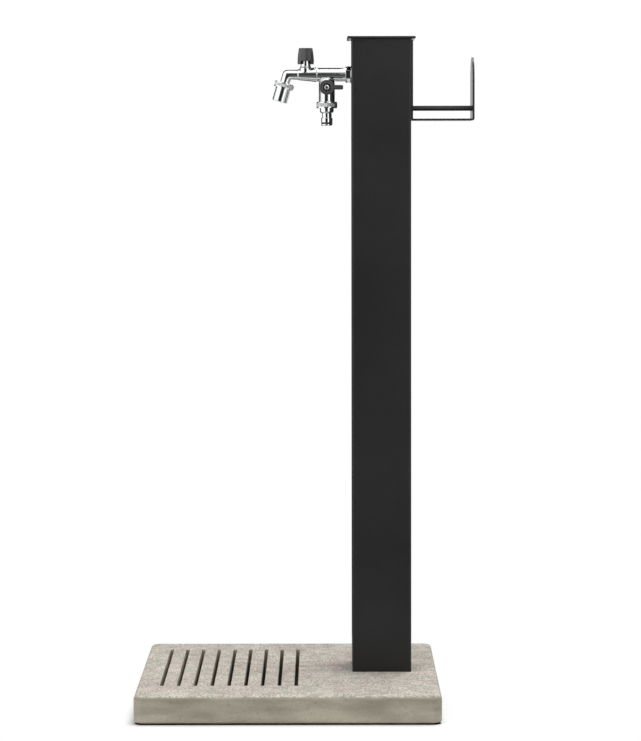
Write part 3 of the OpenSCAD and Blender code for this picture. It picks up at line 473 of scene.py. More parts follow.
@dataclass(frozen=True)
class CastConcrete:
    """Fine cast concrete: a grainy open top with painted light towards the front, smooth moulded sides whose
    darker tone is partly their own and partly painted shade, and slots whose walls carry painted shade low down
    and painted light near the top and on their ends.
    """

    sand: Cloud = Cloud(3.2*MM, 4.0)
    sand_relief: Relief = Relief(0.45*MM, 0.8)
    rough: Span = (0.78, 0.94)
    specular: float = 0.3
    pit: float = 9*MM
    pit_edge: Ramp = Ramp(0.06, grey(0.0), 0.16, grey(1.0))
    # Painted shade in the pits, which are only a relief
    pit_shade: Ramp = Ramp(0.0, grey(0.72), 1.0, grey(1.0))
    pit_relief: Relief = Relief(0.5*MM, 0.6)
    cloud: Cloud = Cloud(70*MM, 6.0)
    top_tone: Ramp = Ramp(0.3, (0.43, 0.395, 0.35, 1.0), 0.7, (0.54, 0.50, 0.45, 1.0))
    top_sand: Ramp = Ramp(0.36, grey(0.5), 0.62, grey(1.25))
    stone: float = 7*MM
    stone_tone: Ramp = Ramp(0.08, grey(1.0), 0.26, grey(0.84))
    patch: Cloud = Cloud(16*MM, 3.0)
    patch_tone: Ramp = Ramp(0.36, grey(0.84), 0.62, grey(1.08))
    tint: Cloud = Cloud(55*MM, 2.0)
    tint_tone: Ramp = Ramp(0.38, (1.03, 0.985, 0.985, 1.0), 0.62, (0.985, 1.01, 0.965, 1.0))
    # Painted light: the top grows paler towards the front
    painted_front_light: Ramp = Ramp(0.0, grey(0.89), 1.0, grey(1.07))
    upward: Ramp = Ramp(0.55, grey(0.0), 0.9, grey(1.0))
    smear: Cloud = Cloud(45*MM, 5.0, (0.55, 0.55, 2.2))
    # The sides' tone is darker than the top's, partly their own tone and partly painted shade
    side_tone: Ramp = Ramp(0.34, (0.275, 0.250, 0.195, 1.0), 0.66, (0.425, 0.392, 0.317, 1.0))
    foot_to_top: Ramp = Ramp(0.25, grey(1.06), 0.85, grey(0.93))
    side_sand: Ramp = Ramp(0.30, grey(0.92), 0.70, grey(1.05))
    # Painted shade and light in the slots: side walls darkened low down and lightened near the top, end walls
    # lightened
    inner_rim: float = 25*MM
    outer_rim: float = 15*MM
    slot_shade: float = 0.2
    slot_shade_line: float = 0.55
    slot_light: float = 1.6

    def build(self) -> Material:
        """Wire the finish.

        Returns:
            The material.
        """
        sheet = NodeSheet("cast_concrete")
        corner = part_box("base_slab")[1]
        sand = sheet.noise(self.sand)
        pits = sheet.ramp(sheet.cells(self.pit), self.pit_edge)
        upward = sheet.ramp(sheet.facing(Axis.Z), self.upward)
        side, top = self.side(sheet, sand, corner), self.top(sheet, sand, corner)
        # Sides darker than the top: partly their own tone, partly painted shade
        base = sheet.blend(Blend.MIX, upward, side, top)
        # Painted shade in the pits
        sheet.colour(sheet.shade(base, sheet.ramp(pits, self.pit_shade)))
        sheet.gloss(sheet.spread(sand, CLOUD_RANGE, self.rough))
        sheet.set(Specular_IOR_Level=self.specular)
        sheet.relief(pits, self.pit_relief)
        sheet.relief(sand, self.sand_relief)
        return sheet.material

    def top(self, sheet: NodeSheet, sand: Socket, corner: Vector) -> Socket:
        """Colour of the open top: clouds, sand, stones, patches and tints, with painted light that makes it paler
        at the front.

        Args:
            sheet: The material's nodes.
            sand: Pattern of the sand.
            corner: The slab's highest corner.
        Returns:
            The colour.
        """
        colour = sheet.ramp(sheet.noise(self.cloud), self.top_tone)
        layers = (
            sheet.ramp(sand, self.top_sand),
            sheet.ramp(sheet.cells(self.stone), self.stone_tone),
            sheet.ramp(sheet.noise(self.patch), self.patch_tone),
            sheet.ramp(sheet.noise(self.tint), self.tint_tone),
            # Painted light, paler towards the front
            sheet.ramp(sheet.between(Axis.Y, corner.y, -corner.y), self.painted_front_light),
        )
        for layer in layers:
            colour = sheet.shade(colour, layer)
        return colour

    def side(self, sheet: NodeSheet, sand: Socket, corner: Vector) -> Socket:
        """Colour of the moulded sides and of the slots' walls, with painted shade low on the walls and painted
        light near their tops and on their ends.

        Args:
            sheet: The material's nodes.
            sand: Pattern of the sand.
            corner: The slab's highest corner.
        Returns:
            The colour.
        """
        height = sheet.between(Axis.Z, 0.0, corner.z)
        colour = sheet.ramp(sheet.noise(self.smear), self.side_tone)
        colour = sheet.shade(colour, sheet.ramp(height, self.foot_to_top))
        colour = sheet.shade(colour, sheet.ramp(sand, self.side_sand))
        # Painted shade low on the slots' side walls, painted light near their tops and all over their end walls
        rim = (corner.x - self.inner_rim, corner.x - self.outer_rim)
        outside = sheet.step(sheet.sum_up(Sum.LARGER, *sheet.outward()), rim)
        wall = sheet.step(height, (self.slot_shade_line, 1.0), (self.slot_shade, self.slot_light))
        end = sheet.sum_up(Sum.MULTIPLY, sheet.sum_up(Sum.SIZE, sheet.facing(Axis.Y)), self.slot_light)
        slot = sheet.sum_up(Sum.LARGER, wall, end)
        inside = sheet.sum_up(Sum.SUBTRACT, slot, sheet.sum_up(Sum.MULTIPLY, outside, self.slot_light))
        return sheet.shade(colour, sheet.sum_up(Sum.LARGER, outside, inside))


@dataclass(frozen=True)
class PolishedChrome:
    """Chrome plate over a polished casting, with faint wipe marks and a duller knurl."""

    name: str
    knurl_rough: float = 0.0
    rough: Span = (0.035, 0.085)
    colour: Colour = (0.62, 0.63, 0.635, 1.0)
    knurl_colour: Colour = (0.44, 0.445, 0.45, 1.0)
    wipe: Cloud = Cloud(24*MM, 5.0, (1.0, 1.0, 0.4))
    wave: Cloud = Cloud(9*MM, 1.0)
    wave_relief: Relief = Relief(0.012*MM, 0.5)

    def build(self) -> Material:
        """Wire the finish.

        Returns:
            The material.
        """
        sheet = NodeSheet(self.name)
        sheet.set(Base_Color=self.colour, Metallic=1.0)
        rough = sheet.spread(sheet.noise(self.wipe), CLOUD_RANGE, self.rough)
        if self.knurl_rough:
            knurl = sheet.mark(KNURL)
            sheet.colour(sheet.ramp(knurl, Ramp(0.0, self.colour, 1.0, self.knurl_colour)))
            rough = sheet.sum_up(Sum.ADD, rough, sheet.sum_up(Sum.MULTIPLY, knurl, self.knurl_rough))
        sheet.gloss(rough)
        sheet.relief(sheet.noise(self.wave), self.wave_relief)
        return sheet.material


@dataclass(frozen=True)
class MouldedPlastic:
    """Satin moulded plastic with a spark-eroded grain."""

    name: str
    dark: Colour
    light: Colour
    flow: Cloud = Cloud(12*MM, 4.0)
    grain: Cloud = Cloud(0.35*MM, 2.0)
    grain_relief: Relief = Relief(0.03*MM, 0.6)
    rough: Span = (0.26, 0.40)

    def build(self) -> Material:
        """Wire the finish.

        Returns:
            The material.
        """
        sheet = NodeSheet(self.name)
        grain = sheet.noise(self.grain)
        low, high = CLOUD_RANGE
        sheet.colour(sheet.ramp(sheet.noise(self.flow), Ramp(low, self.dark, high, self.light)))
        sheet.gloss(sheet.spread(grain, CLOUD_RANGE, self.rough))
        sheet.relief(grain, self.grain_relief)
        return sheet.material


@dataclass(frozen=True)
class MattRubber:
    """Black sealing rubber with a dusty bloom."""

    bloom: Cloud = Cloud(5*MM, 4.0)
    tone: Ramp = Ramp(0.4, (0.012, 0.012, 0.013, 1.0), 0.7, (0.030, 0.030, 0.031, 1.0))
    wear: Cloud = Cloud(1.2*MM, 2.0)
    rough: Span = (0.55, 0.75)
    grain: Cloud = Cloud(0.5*MM, 2.0)
    grain_relief: Relief = Relief(0.02*MM, 0.5)

    def build(self) -> Material:
        """Wire the finish.

        Returns:
            The material.
        """
        sheet = NodeSheet("matt_rubber")
        sheet.colour(sheet.ramp(sheet.noise(self.bloom), self.tone))
        sheet.gloss(sheet.spread(sheet.noise(self.wear), CLOUD_RANGE, self.rough))
        sheet.relief(sheet.noise(self.grain), self.grain_relief)
        return sheet.material


@dataclass(frozen=True)
class TurnedMetal:
    """Machined metal with fine tool marks."""

    name: str
    dark: Colour
    light: Colour
    stain: Cloud = Cloud(10*MM, 4.0)
    marks: Cloud = Cloud(0.8*MM, 2.0, (0.15, 0.15, 2.0))
    marks_relief: Relief = Relief(0.01*MM, 0.5)
    rough: Span = (0.22, 0.38)

    def build(self) -> Material:
        """Wire the finish.

        Returns:
            The material.
        """
        sheet = NodeSheet(self.name)
        marks = sheet.noise(self.marks)
        low, high = CLOUD_RANGE
        sheet.set(Metallic=1.0)
        sheet.colour(sheet.ramp(sheet.noise(self.stain), Ramp(low, self.dark, high, self.light)))
        sheet.gloss(sheet.spread(marks, CLOUD_RANGE, self.rough))
        sheet.relief(marks, self.marks_relief)
        return sheet.material


class Finishes:
    """All finishes of the object: one for each slot of the record, and two of their own."""

    def __init__(self) -> None:
        """Build every material once."""
        white, ivory = (0.82, 0.81, 0.78, 1.0), (0.74, 0.73, 0.69, 1.0)
        bright_brass, dull_brass = (0.64, 0.46, 0.19, 1.0), (0.50, 0.34, 0.12, 1.0)
        self.by_slot: dict[Slot, Material] = {
            Slot.CONCRETE: CastConcrete().build(),
            Slot.POWDER_COAT: PowderCoat("powder_coat", rough=(0.20, 0.32), specular=0.16).build(),
            Slot.CHROME: PolishedChrome("polished_chrome").build(),
            Slot.DARK_PLASTIC: MouldedPlastic("dark_plastic", grey(0.036), grey(0.050)).build(),
            Slot.RUBBER: MattRubber().build(),
            Slot.BRASS: TurnedMetal("turned_brass", dull_brass, bright_brass).build(),
            Slot.STEEL: TurnedMetal("zinc_steel", grey(0.45), (0.60, 0.61, 0.63, 1.0)).build(),
            Slot.WHITE_PLASTIC: MouldedPlastic("white_plastic", ivory, white).build(),
        }
        self.matt_coat = PowderCoat("matt_coat", rough=(0.7, 0.85), specular=0.015).build()
        self.knurled_chrome = PolishedChrome("knurled_chrome", knurl_rough=0.42).build()

    def dress_frame(self) -> None:
        """Give every node of the frame the finish of its slot."""
        for part in frame["record"]["subparts"]:
            node = frame["nodes"][part["node"]]
            node.data.materials.clear()
            node.data.materials.append(self.by_slot[Slot(part["material_slot"])])

    def install(self, piece: Piece, slot: Slot, body: Body, *nodes: str,
                finish: Material | None = None) -> None:
        """Dress a finished piece and set it on its body in place of nodes of the frame.

        Args:
            piece: The modelled piece.
            slot: The record's slot for its finish.
            body: The body that it moves with.
            nodes: The nodes that it stands for.
            finish: A finish of its own, or None for the slot's.
        """
        piece.data.materials.clear()
        piece.data.materials.append(finish or self.by_slot[slot])
        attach(piece, body.value)
        if nodes:
            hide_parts(*nodes)
        LOG.info("%s: %d faces, rides on %s", piece.name, len(piece.data.polygons), body.value)


class Bench:
    """Modelling moves that the sub-assemblies share."""

    @staticmethod
    def clear() -> None:
        """Leave edit mode and deselect everything."""
        if bpy.context.mode != "OBJECT":
            bpy.ops.object.mode_set(mode="OBJECT")
        bpy.ops.object.select_all(action="DESELECT")

    @staticmethod
    def added(name: str) -> Piece:
        """Name the primitive that was just added and return it."""
        bpy.context.object.name = name
        return bpy.context.object

    @staticmethod
    def take(piece: Piece, *others: Piece) -> None:
        """Select pieces in object mode.

        Args:
            piece: The active piece.
            others: Pieces that are selected with it.
        """
        Bench.clear()
        for each in (*others, piece):
            each.select_set(True)
        bpy.context.view_layer.objects.active = piece

    @staticmethod
    def edit(piece: Piece) -> None:
        """Open a piece in edit mode with nothing selected.

        Args:
            piece: The piece.
        """
        Bench.take(piece)
        bpy.ops.object.mode_set(mode="EDIT")
        bpy.ops.mesh.select_all(action="DESELECT")

    @staticmethod
    def choose(piece: Piece, kind: Pick, test: Test) -> int:
        """Select what passes a test, in edit mode.

        Args:
            piece: The piece that is open in edit mode.
            kind: Whether points, edges or faces are tested.
            test: The test for one point, edge or face.
        Returns:
            How many were selected.
        """
        bpy.ops.mesh.select_mode(type=kind.value)
        bpy.ops.mesh.select_all(action="DESELECT")
        mesh = bmesh.from_edit_mesh(piece.data)
        items = {Pick.POINTS: mesh.verts, Pick.EDGES: mesh.edges, Pick.FACES: mesh.faces}[kind]
        found = [item for item in items if test(item)]
        for item in found:
            item.select_set(True)
        bmesh.update_edit_mesh(piece.data)
        return len(found)

    @staticmethod
    def extrude(step: Vector) -> None:
        """Extrude the selected faces by a step."""
        bpy.ops.mesh.extrude_region_move(TRANSFORM_OT_translate={"value": step})

    @staticmethod
    def modify(piece: Piece, kind: str, **settings: object) -> None:
        """Add a modifier, set it and apply it.

        Args:
            piece: The piece.
            kind: Type of the modifier.
            settings: Its properties and their values.
        """
        modifier = piece.modifiers.new(kind.lower(), kind)
        for key, value in settings.items():
            setattr(modifier, key, value)
        Bench.take(piece)
        bpy.ops.object.modifier_apply(modifier=modifier.name)

    @staticmethod
    def settle(piece: Piece, place: Matrix) -> Piece:
        """Put a piece in its place and keep the place in its mesh.

        Args:
            piece: The piece.
            place: Its place, turn and scale.
        Returns:
            The same piece.
        """
        Bench.take(piece)
        piece.matrix_world = place
        bpy.ops.object.transform_apply(location=True, rotation=True, scale=True)
        return piece

    @staticmethod
    def smooth(piece: Piece) -> Piece:
        """Shade a piece smooth over its small turns, with flat faces kept flat.

        Args:
            piece: The piece.
        Returns:
            The same piece.
        """
        Bench.take(piece)
        bpy.ops.object.shade_smooth_by_angle(angle=math.radians(SMOOTH_ANGLE))
        Bench.modify(piece, "WEIGHTED_NORMAL", keep_sharp=True)
        return piece

    @staticmethod
    def block(name: str, low: Vector, high: Vector) -> Piece:
        """Box between two corners, ready to be shaped.

        Args:
            name: Name of the piece.
            low: Lowest corner.
            high: Highest corner.
        Returns:
            The box.
        """
        Bench.clear()
        bpy.ops.mesh.primitive_cube_add(size=1.0)
        size = Matrix.Diagonal((*(high - low), 1.0))
        return Bench.settle(Bench.added(name), Matrix.Translation((low + high)/2) @ size)

    @staticmethod
    def turned(name: str, profile: Profile, place: Matrix, steps: int = ROUND, ring: bool = False) -> Piece:
        """Turn a profile: a circle is extruded and scaled from point to point.

        Args:
            name: Name of the piece.
            profile: Radius and height of each point, along the local Z axis.
            place: Where the local axis goes.
            steps: Points round the circle.
            ring: Whether the last point joins the first, as in a tube.
        Returns:
            The turned piece.
        """
        Bench.clear()
        radius, height = profile[0]
        bpy.ops.mesh.primitive_circle_add(vertices=steps, radius=radius)
        piece = Bench.added(name)
        bpy.ops.object.mode_set(mode="EDIT")
        bpy.ops.mesh.select_mode(type=Pick.EDGES.value)
        bpy.ops.mesh.select_all(action="SELECT")
        bpy.ops.transform.translate(value=(0.0, 0.0, height))
        for next_radius, next_height in profile[1:]:
            rise = (0.0, 0.0, next_height - height)
            factor = next_radius/radius
            bpy.ops.mesh.extrude_edges_move(TRANSFORM_OT_translate={"value": rise})
            bpy.ops.transform.resize(value=(factor, factor, 1.0), center_override=(0.0, 0.0, next_height))
            radius, height = next_radius, next_height
        bpy.ops.mesh.select_all(action="DESELECT")
        bpy.ops.mesh.select_non_manifold()
        if ring:
            bpy.ops.mesh.bridge_edge_loops()
        else:
            bpy.ops.mesh.fill_holes(sides=0)
        bpy.ops.mesh.select_all(action="SELECT")
        bpy.ops.mesh.normals_make_consistent(inside=False)
        return Bench.settle(piece, place)

    @staticmethod
    def rod(name: str, radius: float, ends: Span, place: Matrix, steps: int = ROUND) -> Piece:
        """Plain round rod along the local Z axis, to be joined to others or to cut them."""
        return Bench.turned(name, [(radius, end) for end in ends], place, steps)

    @staticmethod
    def round_off(piece: Piece, width: float, segments: int, test: Test) -> None:
        """Bevel the edges that pass a test.

        Args:
            piece: The piece to shape.
            width: Width of the bevel, in metres.
            segments: Number of its steps.
            test: The test for one edge.
        """
        Bench.edit(piece)
        if Bench.choose(piece, Pick.EDGES, test):
            bpy.ops.mesh.bevel(offset=width, segments=segments, affect="EDGES", clamp_overlap=True)
        Bench.clear()

    @staticmethod
    def soften(piece: Piece, width: float, segments: int = 3, angle: float = 30.0) -> Piece:
        """Bevel every sharp edge, then clean and shade the piece.

        Args:
            piece: The piece to shape.
            width: Width of the bevel, in metres.
            segments: Number of its steps.
            angle: Turn from which an edge counts as sharp, in degrees.
        Returns:
            The same piece.
        """
        limit = math.radians(angle)
        Bench.round_off(piece, width, segments, lambda edge: edge.calc_face_angle(0.0) > limit)
        Bench.clean(piece)
        return Bench.smooth(piece)

    @staticmethod
    def clean(piece: Piece) -> None:
        """Merge points that lie together and drop faces without area.

        Args:
            piece: The piece.
        """
        Bench.edit(piece)
        bpy.ops.mesh.select_all(action="SELECT")
        bpy.ops.mesh.remove_doubles(threshold=MELD)
        bpy.ops.mesh.dissolve_degenerate(threshold=MELD)
        Bench.clear()

    @staticmethod
    def carve(piece: Piece, *cutters: Piece) -> None:
        """Cut pieces away and remove them.

        Args:
            piece: The piece to cut.
            cutters: What is cut away.
        """
        for cutter in cutters:
            Bench.modify(piece, "BOOLEAN", operation="DIFFERENCE", object=cutter, solver="EXACT")
            bpy.data.objects.remove(cutter)
        Bench.clean(piece)

    @staticmethod
    def join(piece: Piece, *others: Piece) -> Piece:
        """Join pieces into one.

        Args:
            piece: The piece that takes up the others.
            others: The other pieces.
        Returns:
            The first piece.
        """
        Bench.take(piece, *others)
        bpy.ops.object.join()
        return piece

    @staticmethod
    def cast(piece: Piece, voxel: float, passes: int) -> Piece:
        """Melt overlapping shells into one skin with soft fillets.

        Args:
            piece: Closed shells that overlap.
            voxel: Size of a cell of the skin, in metres.
            passes: Number of smoothing passes.
        Returns:
            The cast piece.
        """
        Bench.take(piece)
        piece.data.remesh_voxel_size = voxel
        bpy.ops.object.voxel_remesh()
        Bench.modify(piece, "SMOOTH", factor=PASS_STRENGTH, iterations=passes)
        Bench.take(piece)
        bpy.ops.object.shade_smooth()
        return piece

    @staticmethod
    def copy(piece: Piece, name: str, place: Matrix) -> Piece:
        """Copy a piece with a mesh of its own.

        Args:
            piece: The piece to copy.
            name: Name of the copy.
            place: Where the copy goes.
        Returns:
            The copy.
        """
        twin = piece.copy()
        twin.data = piece.data.copy()
        twin.name = name
        bpy.context.scene.collection.objects.link(twin)
        return Bench.settle(twin, place)


def along(point: Vector, direction: Vector) -> Matrix:
    """Place whose local Z axis runs from a point along a direction."""
    turn = direction.to_track_quat("Z", "Y").to_matrix().to_4x4()
    return Matrix.Translation(point) @ turn


def arc(radius: float, numbers: range, step: float) -> Profile:
    """Round stretch of a profile, about the origin.

    Args:
        radius: Radius of the arc.
        numbers: Numbers of its points, with 0 level with the centre.
        step: Degrees from one point to the next.
    Returns:
        Radius and height of each point.
    """
    turns = [math.radians(step*number) for number in numbers]
    return [(radius*math.cos(turn), radius*math.sin(turn)) for turn in turns]


def hexagon_r(across: float) -> float:
    """Corner radius of a hexagon, from its size across the flats."""
    return across/2/math.cos(math.pi/HEXAGON)


def upright(edge: Edge) -> bool:
    """Whether an edge stands along Z."""
    start, end = (point.co for point in edge.verts)
    return (start - end).xy.length < NEAR/2


def level_at(height: float) -> EdgeTest:
    """Test for edges that lie at a height."""
    return lambda edge: all(abs(point.co.z - height) < NEAR for point in edge.verts)


@dataclass(frozen=True)
class Places:
    """Places that the sub-assemblies share, read from the frame.

    The tap's axis meets the post at face and the hose valve's axis at valve. The joints turn about
    knob and lever, and leg is the direction of the spout's leg.
    """

    face: Vector
    knob: Vector
    valve: Vector
    lever: Vector
    leg: Vector

    @classmethod
    def read(cls) -> "Places":
        """Find the places from the nodes' boxes, the joints and the mounts.

        Returns:
            The places.
        """
        rosette_low, rosette_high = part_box("rosette")
        tap = (rosette_low + rosette_high)/2
        face = Vector((rosette_high.x, tap.y, tap.z))
        joints = {joint["name"]: Vector(joint["pos_m"]) for joint in frame["joints"] if "pos_m" in joint}
        mounts = {mount["name"]: mount for mount in frame["record"]["mounts"]}
        lever = joints["lever_turn"]
        valve = Vector((lever.x, tap.y, tap.z))
        return cls(face, joints["knob_turn"], valve, lever, Vector(mounts["spout_sleeve_end"]["axis"]))


@dataclass
class Slab:
    """Cast slab with drain slots and the holes under the post."""

    corner_r: float = 14*MM
    corner_steps: int = 8
    edge_r: float = 6*MM
    edge_steps: int = 5
    gap_h: float = 2.5*MM
    gap_d: float = 10*MM
    foot_r: float = 3*MM
    foot_steps: int = 3
    slot_count: int = 9
    slot_pitch: float = 25*MM
    slot_inset: float = 36.5*MM
    slot_rear: float = 58*MM
    slot_len: float = 307*MM
    slot_w: float = 5.5*MM
    rim: float = 0.9*MM
    rim_steps: int = 2
    rim_turn: float = 60.0
    supply_d: float = 48*MM
    bolt_pitch: float = 56*MM
    pocket_d: float = 22*MM
    pocket_h: float = 12*MM
    margin: float = 5*MM

    def build(self, finishes: Finishes) -> None:
        """Model the slab and dress it.

        Args:
            finishes: All finishes.
        """
        low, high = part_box("base_slab")
        rim = low + self.gap_h*UP
        slab = Bench.block("cast_slab", rim, high)
        Bench.round_off(slab, self.corner_r, self.corner_steps, upright)
        Bench.round_off(slab, self.edge_r, self.edge_steps, level_at(high.z))
        Bench.round_off(slab, self.foot_r, self.foot_steps, level_at(rim.z))
        self.plinth(slab)
        Bench.carve(slab, self.slots(low, high), self.holes(low, high))
        self.ease_rims(slab, low, high)
        Bench.smooth(slab)
        finishes.install(slab, Slot.CONCRETE, Body.STAND, "base_slab")

    def plinth(self, slab: Piece) -> None:
        """Extrude the foot that stands back from the rim and leaves a shadow gap.

        Args:
            slab: The slab.
        """
        Bench.edit(slab)
        Bench.choose(slab, Pick.FACES, lambda face: face.normal.z < -FACING)
        bpy.ops.mesh.inset(thickness=self.gap_d - self.foot_r)
        Bench.extrude(self.gap_h*DOWN)
        Bench.clear()

    def slots(self, low: Vector, high: Vector) -> Piece:
        """Bars that cut the drain slots.

        Args:
            low: The slab's lowest corner.
            high: Its highest corner.
        Returns:
            The bars, joined.
        """
        bars = []
        rear = high.y - self.slot_rear
        for index in range(self.slot_count):
            x = low.x + self.slot_inset + index*self.slot_pitch
            start = Vector((x - self.slot_w/2, rear - self.slot_len, low.z - self.margin))
            end = Vector((x + self.slot_w/2, rear, high.z + self.margin))
            bars.append(Bench.block("slot_bar", start, end))
        return Bench.join(*bars)

    def holes(self, low: Vector, high: Vector) -> Piece:
        """Rods that cut the supply hole and the bolt pockets, under the post.

        Args:
            low: The slab's lowest corner.
            high: Its highest corner.
        Returns:
            The rods, joined.
        """
        post_low, post_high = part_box("post_tube")
        centre = ((post_low + post_high)/2).xy.to_3d()
        start = low.z - self.margin
        through, blind = (start, high.z + self.margin), (start, low.z + self.pocket_h)
        rods = [Bench.rod("supply_rod", self.supply_d/2, through, Matrix.Translation(centre))]
        half = self.bolt_pitch/2
        for side in (Vector((half, half, 0)), Vector((half, -half, 0))):
            for sign in (-1, 1):
                place = Matrix.Translation(centre + sign*side)
                rods.append(Bench.rod("pocket_rod", self.pocket_d/2, blind, place, SMALL_ROUND))
        return Bench.join(*rods)

    def ease_rims(self, slab: Piece, low: Vector, high: Vector) -> None:
        """Break the sharp rims of the slots at the top.

        Args:
            slab: The slab.
            low: Its lowest corner.
            high: Its highest corner.
        """
        end_x = low.x + self.slot_inset + self.slot_count*self.slot_pitch
        at_top = level_at(high.z)
        sharp = math.radians(self.rim_turn)

        def on_rim(edge: Edge) -> bool:
            """Whether an edge is a slot's top rim."""
            return at_top(edge) and edge.verts[0].co.x < end_x and edge.calc_face_angle(0.0) > sharp

        Bench.round_off(slab, self.rim, self.rim_steps, on_rim)


@dataclass
class Post:
    """Square post and its overhanging cap."""

    corner_r: float = 3.5*MM
    corner_steps: int = 8
    wall: float = 2.5*MM
    edge: float = 0.4*MM
    edge_steps: int = 2
    edge_turn: float = 60.0
    cap_corner_r: float = 2*MM
    cap_corner_steps: int = 5
    cap_edge: float = 0.7*MM

    def build(self, finishes: Finishes) -> None:
        """Model the post and the cap and dress them.

        Args:
            finishes: All finishes.
        """
        finishes.install(self.tube(), Slot.POWDER_COAT, Body.STAND, "post_tube")
        finishes.install(self.cap(), Slot.POWDER_COAT, Body.STAND, "top_cap")

    def tube(self) -> Piece:
        """Square tube with round corners, open at both ends.

        Returns:
            The tube.
        """
        post = Bench.block("post", *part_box("post_tube"))
        Bench.round_off(post, self.corner_r, self.corner_steps, upright)
        Bench.edit(post)
        Bench.choose(post, Pick.FACES, lambda face: abs(face.normal.z) > FACING)
        bpy.ops.mesh.inset(thickness=self.wall)
        bpy.ops.mesh.bridge_edge_loops()
        return Bench.soften(post, self.edge, self.edge_steps, self.edge_turn)

    def cap(self) -> Piece:
        """Flat plate with round corners.

        Returns:
            The plate.
        """
        cap = Bench.block("cap_plate", *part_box("top_cap"))
        Bench.round_off(cap, self.cap_corner_r, self.cap_corner_steps, upright)
        return Bench.soften(cap, self.cap_edge)


@dataclass
class HoseHanger:
    """U-bent sheet bracket and the arched saddle in it."""

    sheet: float = 3*MM
    bend_in_r: float = 0.8*MM
    bend_in_steps: int = 4
    bend_out_r: float = 3.4*MM
    bend_out_steps: int = 8
    flat_turn: float = 1.0
    front_h: float = 96.5*MM
    crown_steps: int = 24
    saddle_rise: float = 4.5*MM
    arch_steps: int = 24
    edge: float = 0.5*MM
    edge_steps: int = 2
    edge_turn: float = 60.0

    def build(self, finishes: Finishes) -> None:
        """Model the bracket and the saddle and dress them.

        Args:
            finishes: All finishes.
        """
        finishes.install(self.bracket(), Slot.POWDER_COAT, Body.STAND, "hanger_bracket")
        finishes.install(self.saddle(), Slot.POWDER_COAT, Body.STAND, "hose_saddle",
                         finish=finishes.matt_coat)

    def bracket(self) -> Piece:
        """Back plate, floor and upright, extruded from one another and bent at the corners.

        Returns:
            The bracket.
        """
        low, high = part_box("hanger_bracket")
        floor_z, front_z = low.z + self.sheet, low.z + self.front_h
        back_x, inner_x = low.x + self.sheet, high.x - self.sheet
        piece = self.strip(low, high)

        def bend_line(x: float, z: float) -> EdgeTest:
            """Test for the edge along Y at a place."""
            place = Vector((x, z))
            return lambda edge: all(max(map(abs, point.co.xz - place)) < NEAR for point in edge.verts)

        def upright_corner(edge: Edge) -> bool:
            """Whether an edge is a top corner of the upright.

            Args:
                edge: The edge.
            Returns:
                True for such a corner.
            """
            start, end = (point.co for point in edge.verts)
            across = abs(start.y - end.y) < NEAR and abs(start.z - end.z) < NEAR
            at_side = min(abs(start.y - low.y), abs(start.y - high.y)) < NEAR
            at_top = abs(start.z - front_z) < NEAR and start.x > inner_x - self.sheet
            return across and at_side and at_top

        for outer, inner in ((low.x, back_x), (high.x, inner_x)):
            Bench.round_off(piece, self.bend_out_r, self.bend_out_steps, bend_line(outer, low.z))
            Bench.round_off(piece, self.bend_in_r, self.bend_in_steps, bend_line(inner, floor_z))
        crown_r = (high.y - low.y)/2 - self.edge
        Bench.round_off(piece, crown_r, self.crown_steps, upright_corner)
        return Bench.soften(piece, self.edge, self.edge_steps, self.edge_turn)

    def strip(self, low: Vector, high: Vector) -> Piece:
        """Square-cornered bracket before it is bent and rounded.

        Args:
            low: The bracket's lowest corner.
            high: Its highest corner.
        Returns:
            The bracket.
        """
        floor_z, front_z = low.z + self.sheet, low.z + self.front_h
        back_x, inner_x = low.x + self.sheet, high.x - self.sheet

        def on_back(face: bmesh.types.BMFace) -> bool:
            """Whether a face is the foot of the back plate's inner side."""
            return face.normal.x > FACING and face.calc_center_median().z < floor_z

        def on_floor(face: bmesh.types.BMFace) -> bool:
            """Whether a face is the outer end of the floor's upper side."""
            return face.normal.z > FACING and face.calc_center_median().x > inner_x

        piece = Bench.block("bracket", low, Vector((back_x, high.y, high.z)))
        Bench.edit(piece)
        bpy.ops.mesh.select_all(action="SELECT")
        bpy.ops.mesh.bisect(plane_co=(0, 0, floor_z), plane_no=UP)
        Bench.choose(piece, Pick.FACES, on_back)
        Bench.extrude((high.x - back_x)*RIGHT)
        bpy.ops.mesh.select_all(action="SELECT")
        bpy.ops.mesh.bisect(plane_co=(inner_x, 0, 0), plane_no=RIGHT)
        Bench.choose(piece, Pick.FACES, on_floor)
        Bench.extrude((front_z - floor_z)*UP)
        bpy.ops.mesh.select_all(action="SELECT")
        bpy.ops.mesh.dissolve_limited(angle_limit=math.radians(self.flat_turn))
        Bench.clear()
        return piece

    def saddle(self) -> Piece:
        """Arched plate: an edge is spun over the crown and given its thickness.

        Returns:
            The saddle.
        """
        low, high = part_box("hose_saddle")
        half = (high.y - low.y)/2
        radius = (half*half + self.saddle_rise*self.saddle_rise)/(2*self.saddle_rise)
        angle = math.asin(half/radius)
        mid_r = radius + self.sheet/2
        centre = Vector(((low.x + high.x)/2, (low.y + high.y)/2, high.z - self.sheet - radius))
        Bench.clear()
        bpy.ops.mesh.primitive_plane_add(size=2*half)
        piece = Bench.added("saddle")
        Bench.edit(piece)
        Bench.choose(piece, Pick.POINTS, lambda point: point.co.y < 0)
        bpy.ops.mesh.delete(type="VERT")
        bpy.ops.mesh.select_all(action="SELECT")
        bpy.ops.transform.resize(value=((high.x - low.x)/(2*half), 1.0, 1.0), center_override=(0, 0, 0))
        start = centre + Vector((0, mid_r*math.sin(angle) - half, mid_r*math.cos(angle)))
        bpy.ops.transform.translate(value=start)
        bpy.ops.mesh.spin(steps=self.arch_steps, angle=-2*angle, center=centre, axis=RIGHT)
        Bench.clear()
        Bench.modify(piece, "SOLIDIFY", thickness=self.sheet, offset=0.0)
        return Bench.soften(piece, self.edge, self.edge_steps, self.edge_turn)


